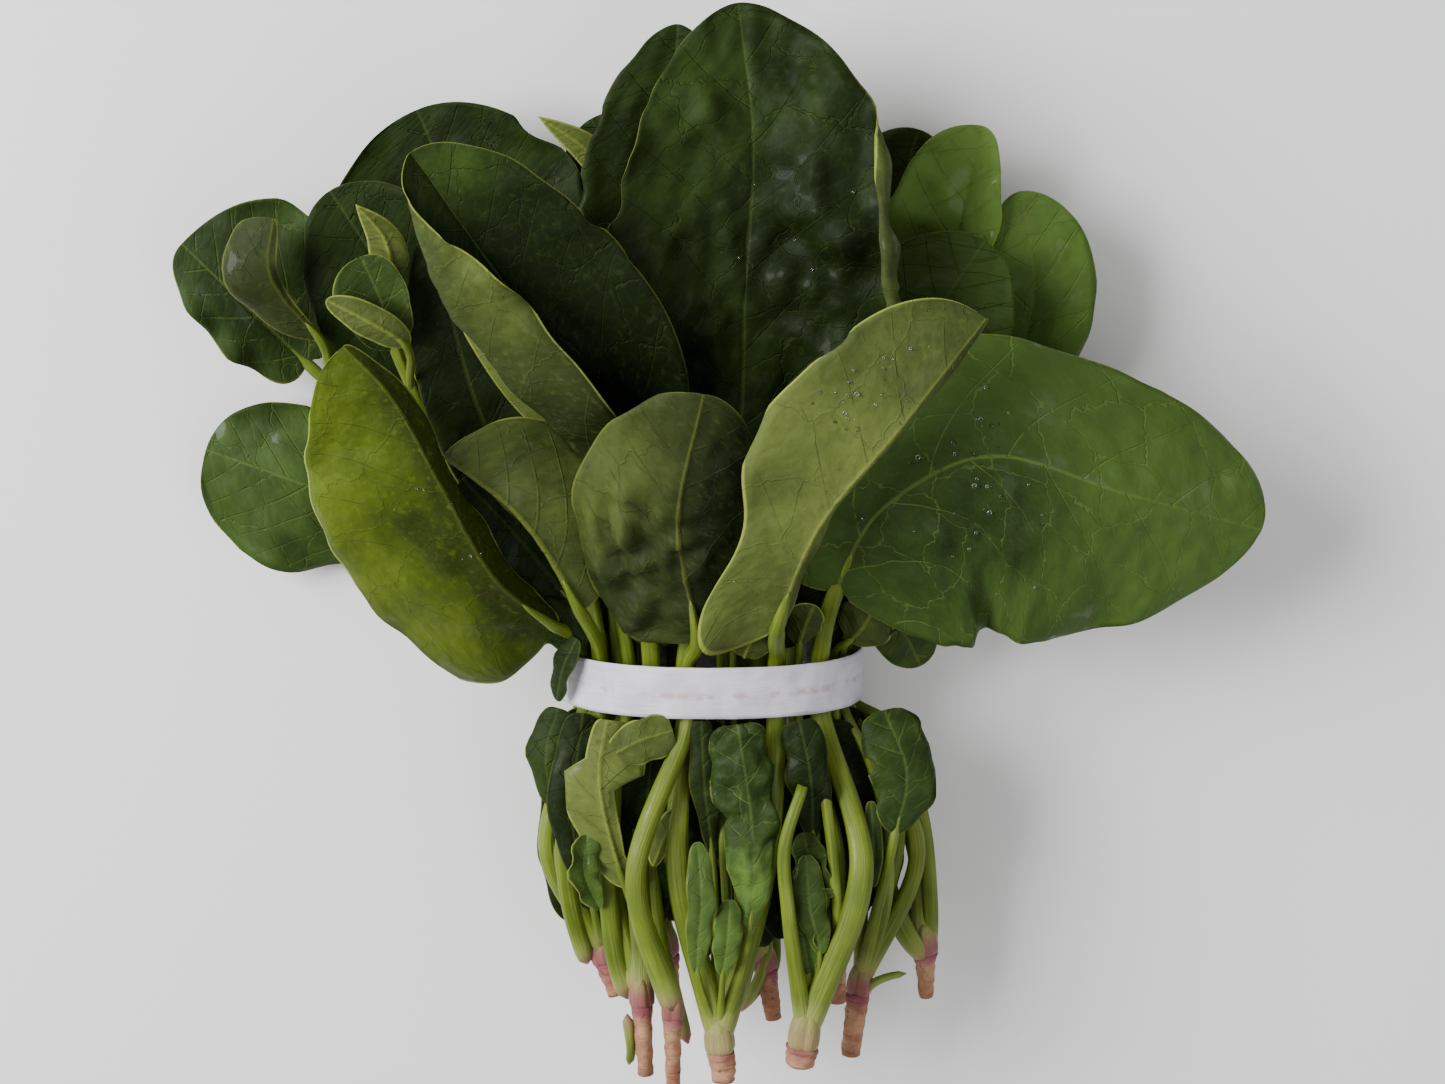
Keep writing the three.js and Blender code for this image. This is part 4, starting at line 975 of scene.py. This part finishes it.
def paper_finish(name, settings):
    """Creased paper with a brownish smudge along its middle."""
    finish = Finish(name, {"IOR": 1.45, "Specular IOR Level": 0.4})
    spot = finish.node("ShaderNodeTexCoord", {}, {}, "Object")
    y = finish.split(spot)[1]
    fibre = finish.noise(finish.stretch(spot, (900, 2600, 900)), 1, 3, 0.6)
    crease = finish.noise(finish.stretch(spot, (60, 500, 60)), 1, 3, 0.6)
    line = 1 - (y + 0.6 * MM).size().rise(0.2 * MM, 1.6 * MM)
    finish.paint(
        settings.paper,
        (finish.noise(spot, 90, 4, 0.55).rise(0.35, 0.7), settings.paper_shade),
        (line * finish.noise(spot, 260, 4, 0.6).rise(0.45, 0.6) * 0.6, settings.paper_smudge))
    finish.feed("Roughness", 0.5 + (fibre - 0.5) * 0.3)
    finish.bump(fibre * 0.25 + crease * 1.2, 0.35)
    return finish.material


# ---------------------------------------------------------------- settings
def colour_setting(name, text, value):
    return bpy.props.FloatVectorProperty(
        name=name, description=text, default=value, subtype="COLOR", size=3, min=0, max=1)


def length_setting(name, text, value):
    return bpy.props.FloatProperty(name=name, description=text, default=value, unit="LENGTH", min=0)


class SpinachSettings(bpy.types.PropertyGroup):
    """Sizes and colours of the bunch that a user would change."""

    blade_thick: length_setting("Blade thickness", "Thickness of a leaf blade", 0.0005)
    pucker: length_setting("Pucker", "How high a blade rises between its veins", 0.0008)
    margin_wave: length_setting("Margin wave", "How far the margin of a blade waves up and down", 0.0013)
    ragged: bpy.props.FloatProperty(
        name="Raggedness", description="Share of its width by which a margin comes and goes",
        default=0.06, min=0, max=0.3, subtype="FACTOR")
    cell: length_setting("Face size", "About how long and wide the faces of a blade are", 0.0013)
    paper_thick: length_setting("Paper thickness", "Thickness of the paper band", 0.0003)
    leaf_deep: colour_setting("Leaf, deep", "Darkest green of an upper side", (0.0068, 0.0130, 0.0026))
    leaf_green: colour_setting("Leaf, green", "Lighter green of an upper side", (0.029, 0.053, 0.009))
    leaf_vein: colour_setting("Veins", "Veins of an upper side", (0.11, 0.16, 0.035))
    under_vein: colour_setting("Underside, veins", "Fine veins of an underside", (0.055, 0.077, 0.018))
    under_deep: colour_setting("Underside, deep", "Darkest olive of an underside", (0.031, 0.045, 0.009))
    under_pale: colour_setting("Underside, pale", "Palest olive of an underside", (0.100, 0.130, 0.028))
    lime_deep: colour_setting("Lime, deep", "Darker green of a young leaf", (0.040, 0.062, 0.003))
    lime_pale: colour_setting("Lime, pale", "Paler green of a young leaf", (0.112, 0.155, 0.010))
    margin: colour_setting("Margin", "Thin pale edge of a blade", (0.26, 0.31, 0.05))
    scuff: colour_setting("Scuffs", "Dry greyish patches on a blade", (0.15, 0.16, 0.085))
    scar: colour_setting("Scars", "Dry brown marks on a blade", (0.075, 0.028, 0.012))
    stalk_green: colour_setting("Stalk, green", "Green of a stalk near its blade", (0.070, 0.108, 0.007))
    stalk_lime: colour_setting("Stalk, lime", "Bright green of a stalk", (0.138, 0.19, 0.013))
    stalk_pale: colour_setting("Stalk, pale", "Pale strings of a stalk", (0.24, 0.28, 0.038))
    stalk_shade: colour_setting("Stalk, grooves", "Colour between the strings", (0.06, 0.095, 0.009))
    stalk_cream: colour_setting("Stalk, foot", "Pale foot of a stalk", (0.34, 0.36, 0.11))
    crown_pink: colour_setting("Crown", "Pink of a crown", (0.205, 0.036, 0.072))
    root_tan: colour_setting("Root, tan", "Darker skin of a root", (0.26, 0.11, 0.055))
    root_pale: colour_setting("Root, pale", "Paler skin of a root", (0.42, 0.23, 0.13))
    soil: colour_setting("Soil", "Specks of soil", (0.035, 0.018, 0.009))
    paper: colour_setting("Paper", "Colour of the band", (0.63, 0.60, 0.665))
    paper_shade: colour_setting("Paper, shaded", "Cooler patches of the band", (0.50, 0.48, 0.55))
    paper_smudge: colour_setting("Paper, crease", "Brownish line along the band", (0.40, 0.29, 0.22))
    floor: colour_setting("Floor", "Colour of the table", (0.85, 0.85, 0.85))


def sizes_of(settings):
    return {
        "thick": settings.blade_thick / MM, "pucker": settings.pucker / MM,
        "margin_wave": settings.margin_wave / MM, "ragged": settings.ragged, "cell": settings.cell / MM}


def looks_of(settings):
    """For each side of each tone of leaf, what its finish is made with."""
    def times(share, colour):
        return tuple(share * c for c in colour)

    # Each look's shade is the colour of painted shade on a blade, and of its specks.
    upper = dict(
        deep=settings.leaf_deep, light=settings.leaf_green, shade=times(0.5, settings.leaf_deep),
        vein=times(0.6, settings.leaf_vein), rib=times(0.8, settings.leaf_vein),
        margin=times(0.4, settings.margin), scar=settings.scar, scuff=times(0.5, settings.scuff),
        vein_width=0.22, net=17, fine_strength=0.04, net_strength=0.08, side_strength=0.12, rib_width=0.4,
        rib_strength=0.2, margin_width=0.5, margin_strength=0.3, scars=0, wet=0.1, rough=0.55,
        blister=0.25, relief=-0.8, clouds=1.3, flecks=0.35, shine=0.09)
    mid = dict(
        upper, deep=times(2, settings.leaf_deep), light=times(2.2, settings.leaf_green),
        vein=settings.leaf_vein, rib=settings.leaf_vein, shade=settings.leaf_deep,
        margin=times(0.7, settings.margin), net_strength=0.15, side_strength=0.22, rib_strength=0.3,
        margin_strength=0.45, wet=0.35, relief=-0.5, clouds=1, flecks=0.18, shine=0.12)
    veined = dict(mid, net_strength=0.34, side_strength=0.5, rib_strength=0.5, clouds=0.45, flecks=0.1)
    # A brighter copy of the mid finish.
    brighter_mid = dict(
        mid, deep=times(3.2, settings.leaf_deep), light=times(3.3, settings.leaf_green),
        vein=times(1.3, settings.leaf_vein))
    lime = dict(mid, deep=settings.lime_deep, light=settings.lime_pale, net_strength=0.1)
    under = dict(
        upper, deep=settings.under_deep, light=settings.under_pale, scuff=settings.scuff,
        shade=times(0.35, settings.under_deep), vein=settings.under_vein, rib=settings.stalk_pale,
        margin=settings.margin, net_strength=0.22, side_strength=0.3, rib_width=0.7, rib_strength=0.25,
        margin_width=0.7, margin_strength=0.7, scars=0.3, wet=0.25, rough=0.6, blister=0.6, relief=0.35,
        shine=0.14)
    under_dark = dict(
        under, deep=times(0.6, settings.under_deep), light=times(0.6, settings.under_pale),
        shade=times(0.2, settings.under_deep), vein=times(0.5, settings.under_vein),
        margin=times(0.5, settings.margin), margin_strength=0.5, rib=times(0.6, settings.stalk_pale))
    under_lime = dict(
        under, deep=settings.lime_deep, light=settings.lime_pale, shade=times(0.3, settings.lime_deep),
        vein=settings.lime_deep, scars=0.35, margin_strength=0.9, rib_strength=0.12)
    return {
        "dark": (upper, under_dark), "mid": (mid, under), "pale": (mid, under),
        "rolled": (upper, under), "lime": (lime, under_lime), "brighter_mid": (brighter_mid, under),
        "veined": (veined, under)}


# ---------------------------------------------------------------- pieces
class SPINACH_OT_blades(bpy.types.Operator):
    """Lays each leaf blade along its midrib, puckered between its veins"""

    bl_idname = "spinach.blades"
    bl_label = "Leaf blades"
    bl_options = {"REGISTER", "UNDO"}

    def execute(self, context):
        settings = context.scene.spinach
        finishes = {}
        for tone, (upper, under) in looks_of(settings).items():
            finishes[tone] = (blade_finish(f"upper_{tone}", upper), blade_finish(f"under_{tone}", under))
        for name, facts in LEAVES.items():
            if facts["blade"]:
                mesh = Blade(f"blade_{name}", facts, sizes_of(settings)).mesh()
                look = finishes[facts["look"]]
                mesh_object(f"blade_{name}", mesh, look, [f"leaf_{name}"])
        return {"FINISHED"}


class SPINACH_OT_stalks(bpy.types.Operator):
    """Grows each plant's leaf stalks out of its crown"""

    bl_idname = "spinach.stalks"
    bl_label = "Leaf stalks"
    bl_options = {"REGISTER", "UNDO"}

    def execute(self, context):
        settings = context.scene.spinach
        skin = stalk_finish("stalk_skin", settings)
        for plant, facts in PLANTS.items():
            body = new_body()
            for name, grown in LEAVES.items():
                if grown["plant"] == plant:
                    self.add_stalk(body, name, grown)
            top = facts["root"][1]
            pick = random.Random(plant)
            phase = pick.uniform(0, 6)

            def lumpy(point):
                turn = math.atan2(point.y, point.x)
                lobes = 0.2 * abs(math.sin(2 * turn + phase)) ** 0.5 + 0.03 * math.sin(5 * turn - phase)
                return swell(point, 0.86 + lobes)

            profile = [(r * top, y * top) for r, y in self.rounded(CROWN)]
            marks = (PINK.get(plant, 1), pick.random())
            add_turned(body, profile, facts["crown"], facts["down"], CROWN_SIDES, lumpy, marks, -1)
            mesh = finish_body(body, f"petioles_{plant}")
            mesh_object(f"petioles_{plant}", mesh, [skin], [f"stalks_{plant}"])
        return {"FINISHED"}

    @staticmethod
    def rounded(profile):
        """The profile with its corners cut twice, so that it turns smoothly."""
        points = [Vector(p) for p in profile]
        for _ in range(2):
            cut = [points[0]]
            for p, q in zip(points, points[1:]):
                cut += [p.lerp(q, 0.25), p.lerp(q, 0.75)]
            points = cut + [points[-1]]
        points[0].x = 0
        points[-1].x = 0
        return points

    @staticmethod
    def add_stalk(body, name, facts):
        """A grooved stalk that sinks behind its blade and ends there, under the midrib."""
        spine, start = spine_of(facts)
        pick = random.Random("stalk " + name)
        bulge = pick.uniform(0, 6)
        hollow = 0.2 * min(1, facts["r"] / 2.5)
        under = min(16, 0.2 * (spine.length - start))

        def past_start(distance):
            return np.clip((distance - start) / max(under, 0.1), 0, 1)

        def radius_of(distance, turn):
            taper = 1.15 - 0.45 * np.clip(distance / max(start, 1), 0, 1)
            flare = 1 + 0.16 * np.exp(-distance / 12) - 0.3 * np.exp(-distance / 3)
            uneven = 1 + 0.03 * np.sin(distance / 9 + bulge) + 0.02 * np.sin(7 * turn + bulge)
            past = past_start(distance)
            tip = (1 - 0.62 * past) * np.sqrt(np.clip(1 - past ** 6, 0.01, 1))
            return facts["r"] * taper * groove(turn - math.pi / 2, hollow, 0.55) * flare * uneven * tip

        def sink_of(distance):
            behind = smooth(-0.3, 0.3, (distance - start) / 10)
            return facts["r"] * 0.55 * behind * (1 - 0.5 * past_start(distance))

        marks = (PINK.get(facts["plant"], 1), pick.random())
        add_tube(body, spine, start + under, radius_of, facts["face"][0], marks, sink_of)


class SPINACH_OT_roots(bpy.types.Operator):
    """Turns the cut root under each crown"""

    bl_idname = "spinach.roots"
    bl_label = "Roots"
    bl_options = {"REGISTER", "UNDO"}

    def execute(self, context):
        settings = context.scene.spinach
        skin = root_finish("root_skin", settings)
        for plant, facts in PLANTS.items():
            length, top, end = facts["root"]
            axis = Vector(facts["down"]).normalized()
            origin = Vector(facts["crown"]) + axis * (CROWN[-1][1] * top)
            pick = random.Random("root " + plant)
            phase = pick.uniform(0, 6)
            neck = top + (end - top) * 0.6
            taper = ((0, NECK, length), (top * 0.95, neck, end))
            profile = [(0, -0.6), (top * 0.9, -0.6), (top * 0.95, 0.2)]
            profile += [(np.interp(far, *taper), far) for far in np.linspace(0, length, 13)[1:]]
            profile += [(end * 0.9, length + 0.3), (0, length + 0.3)]

            def rough(point):
                bumps = noise.noise(Vector((point.x * 0.35, point.y * 0.35, point.z * 0.6 + phase * 9)))
                rings = math.sin(point.z * 2.6 + phase)
                sides = math.sin(2 * math.atan2(point.y, point.x) + phase)
                return swell(point, 1 + 0.16 * bumps + 0.03 * rings + 0.05 * sides)

            body = new_body()
            marks = (PINK.get(plant, 1), pick.random())
            add_turned(body, profile, origin, axis, ROOT_SIDES, rough, marks, 1)
            mesh = finish_body(body, f"taproot_{plant}")
            mesh_object(f"taproot_{plant}", mesh, [skin], [f"root_{plant}"])
        return {"FINISHED"}


class SPINACH_OT_band(bpy.types.Operator):
    """Wraps the paper band round the stalks"""

    bl_idname = "spinach.band"
    bl_label = "Paper band"
    bl_options = {"REGISTER", "UNDO"}

    def execute(self, context):
        settings = context.scene.spinach
        thick = settings.paper_thick / MM
        strip = bmesh.new()
        along, over = PAPER_FACES
        bmesh.ops.create_grid(strip, x_segments=along, y_segments=over, size=1)
        across, high = BAND["half_across"] - PAPER_INSIDE, BAND["half_high"] - PAPER_INSIDE
        for vert in strip.verts:
            share, y = (vert.co.x + 1) / 2, vert.co.y * BAND["width"] / 2
            turn = math.radians(BAND["start"] + share * BAND["turn"])
            lap = smooth(*PAPER_LAP, share) * (thick + 0.25)
            crinkle = 0
            for many, fine, cut, height in PAPER_CRINKLES:
                crinkle += height * noise.noise(Vector((share * many, y * fine, cut)))
            out = -0.45 + lap + crinkle
            x = (across + out) * math.cos(turn)
            z = max(high + (high + out) * math.sin(turn) + 0.2, 0.25 + lap)
            vert.co = Vector((x, y + 0.25 * math.sin(share * 19), z)) * MM
        bmesh.ops.recalc_face_normals(strip, faces=strip.faces[:])
        bmesh.ops.solidify(strip, geom=strip.faces[:], thickness=settings.paper_thick)
        mesh = finish_body(strip, "paper_band")
        mesh_object("paper_band", mesh, [paper_finish("paper", settings)], ["band"])
        return {"FINISHED"}


class SPINACH_OT_inner_leaves(bpy.types.Operator):
    """Fills the bunch between its outer leaves with torn, curled and shaded ones"""

    bl_idname = "spinach.inner_leaves"
    bl_label = "Inner leaves"
    bl_options = {"REGISTER", "UNDO"}

    def execute(self, context):
        settings = context.scene.spinach
        for name, facts in INNER_LEAVES.items():
            tone = facts["tone"]
            finishes = [bpy.data.materials[f"{side}_{tone}"] for side in ("upper", "under")]
            mesh = Blade(f"inner_{name}", facts, sizes_of(settings)).mesh()
            mesh_object(f"inner_{name}", mesh, finishes)
        return {"FINISHED"}


class SPINACH_OT_inner_stalks(bpy.types.Operator):
    """Fills the bunch between its outer stalks with more of them"""

    bl_idname = "spinach.inner_stalks"
    bl_label = "Inner stalks"
    bl_options = {"REGISTER", "UNDO"}

    def execute(self, context):
        skin = bpy.data.materials["stalk_skin"]
        for name, (foot, band, *knots) in INNER_STALKS.items():
            body = new_body()
            spine = Spine([*knots, *past_band(*band)] if band else knots)
            pick = random.Random("inner " + name)
            phase = pick.uniform(0, 6)

            def radius_of(distance, turn):
                share = distance / spine.length
                uneven = 1 + 0.04 * np.sin(distance / 8 + phase) + 0.03 * np.sin(5 * turn + phase)
                end = np.sqrt(np.clip(1 - (np.abs(share - 0.5) * 2) ** 24, 0.02, 1))
                return foot * (1.05 - 0.35 * share) * uneven * groove(turn - phase, 0.15, 0.5) * end

            add_tube(body, spine, spine.length, radius_of, UP, (1, pick.random()))
            mesh = finish_body(body, f"inner_stalk_{name}")
            mesh_object(f"inner_stalk_{name}", mesh, [skin])
        return {"FINISHED"}


class SPINACH_OT_drops(bpy.types.Operator):
    """Scatters water drops over the blades that are wet"""

    bl_idname = "spinach.drops"
    bl_label = "Water drops"
    bl_options = {"REGISTER", "UNDO"}

    def execute(self, context):
        settings = context.scene.spinach
        water = Finish("water", {
            "IOR": 1.33, "Roughness": 0.02, "Transmission Weight": 1, "Base Color": (0.93, 0.97, 0.9)})
        body = new_body()
        for name, (side, patches) in DROPS.items():
            # Named without its prefix, this blade has other bulges than the one drawn, so some drops
            # stand clear of the drawn blade or lie inside it.
            blade = Blade(name, LEAVES[name], sizes_of(settings))
            pick = random.Random("drops " + name)
            for count, *along_and_across, size in patches:
                for _ in range(count):
                    s, w = (np.array([pick.uniform(*ends)]) for ends in along_and_across)
                    spots, facing = blade.lay(s, w)[:2]
                    radius = size * pick.uniform(0.5, 1.2) ** 2
                    self.add_drop(body, Vector(spots[0]), Vector(facing[0] * side), radius, settings)
        mesh = finish_body(body, "water_drops")
        mesh_object("water_drops", mesh, [water.material])
        return {"FINISHED"}

    @staticmethod
    def add_drop(body, middle, facing, radius, settings):
        """A flattened drop centred just above a blade's face; middle is halfway through the blade."""
        made = bmesh.ops.create_icosphere(body, subdivisions=2, radius=radius * MM)["verts"]
        tilt = Vector(UP).rotation_difference(facing).to_matrix()
        at = middle + facing * (settings.blade_thick / MM / 2 + 0.12 * radius)
        for vert in made:
            here = Vector((vert.co.x, vert.co.y * 1.1, vert.co.z * 0.5))
            vert.co = tilt @ here + at * MM


class SPINACH_OT_stage(bpy.types.Operator):
    """Sets out the table, the lights and the camera"""

    bl_idname = "spinach.stage"
    bl_label = "Table, lights and camera"
    bl_options = {"REGISTER", "UNDO"}

    def execute(self, context):
        table = bmesh.new()
        bmesh.ops.create_grid(table, x_segments=1, y_segments=1, size=3)
        bmesh.ops.translate(table, vec=(0, 0, -0.2 * MM), verts=table.verts)
        mesh = bpy.data.meshes.new("table_top")
        table.to_mesh(mesh)
        table.free()
        floor = Finish("table_top", {"Roughness": 0.7, "Specular IOR Level": 0.2})
        floor.feed("Base Color", context.scene.spinach.floor)
        mesh.materials.append(floor.material)
        top = bpy.data.objects.new("table_top", mesh)
        bpy.context.scene.collection.objects.link(top)
        for light in LIGHTS:
            self.add_light(*light)
        world = bpy.data.worlds.new("soft_room")
        world.use_nodes = True
        room = world.node_tree.nodes["Background"]
        room.inputs["Color"].default_value = (1, 1, 1, 1)
        room.inputs["Strength"].default_value = ROOM_LIGHT
        bpy.context.scene.world = world
        self.add_camera()
        return {"FINISHED"}

    @staticmethod
    def add_light(name, place, size, watts):
        light = bpy.data.lights.new(name, "AREA")
        light.size = size
        light.energy = watts
        lamp = bpy.data.objects.new(name, light)
        turn = (Vector(LIGHTS_AIM) - Vector(place)).to_track_quat("-Z", "Y").to_matrix().to_4x4()
        lamp.matrix_world = Matrix.Translation(place) @ turn
        bpy.context.scene.collection.objects.link(lamp)

    @staticmethod
    def add_camera():
        data = bpy.data.cameras.new("camera")
        data.lens = CAMERA["lens"]
        data.sensor_width = CAMERA["sensor"]
        camera = bpy.data.objects.new("camera", data)
        lean = math.radians(CAMERA["lean"])
        right = Vector((1, 0, 0))
        up = Vector((0, math.cos(lean), -math.sin(lean)))
        back = Vector((0, math.sin(lean), math.cos(lean)))
        place = Vector(CAMERA["aim"]) + CAMERA["far"] * back
        turn = Matrix((right, up, back)).transposed().to_4x4()
        camera.matrix_world = Matrix.Translation(place) @ turn
        bpy.context.scene.collection.objects.link(camera)
        bpy.context.scene.camera = camera


STEPS = (
    SPINACH_OT_blades, SPINACH_OT_stalks, SPINACH_OT_roots, SPINACH_OT_band, SPINACH_OT_inner_leaves,
    SPINACH_OT_inner_stalks, SPINACH_OT_drops, SPINACH_OT_stage)


class SPINACH_PT_panel(bpy.types.Panel):
    """The pieces of the bunch, one button each"""

    bl_label = "Spinach bunch"
    bl_idname = "SPINACH_PT_panel"
    bl_space_type = "VIEW_3D"
    bl_region_type = "UI"
    bl_category = "Spinach"

    def draw(self, context):
        settings = context.scene.spinach
        for name in SpinachSettings.__annotations__:
            self.layout.prop(settings, name)
        for step in STEPS:
            self.layout.operator(step.bl_idname)


CLASSES = (SpinachSettings, *STEPS, SPINACH_PT_panel)


def register():
    for each in CLASSES:
        bpy.utils.register_class(each)
    bpy.types.Scene.spinach = bpy.props.PointerProperty(type=SpinachSettings)


def unregister():
    del bpy.types.Scene.spinach
    for each in reversed(CLASSES):
        bpy.utils.unregister_class(each)


def main():
    register()
    for step in STEPS:
        group, name = step.bl_idname.split(".")
        getattr(getattr(bpy.ops, group), name)()
    bpy.context.view_layer.update()


if __name__ == "__main__":
    main()
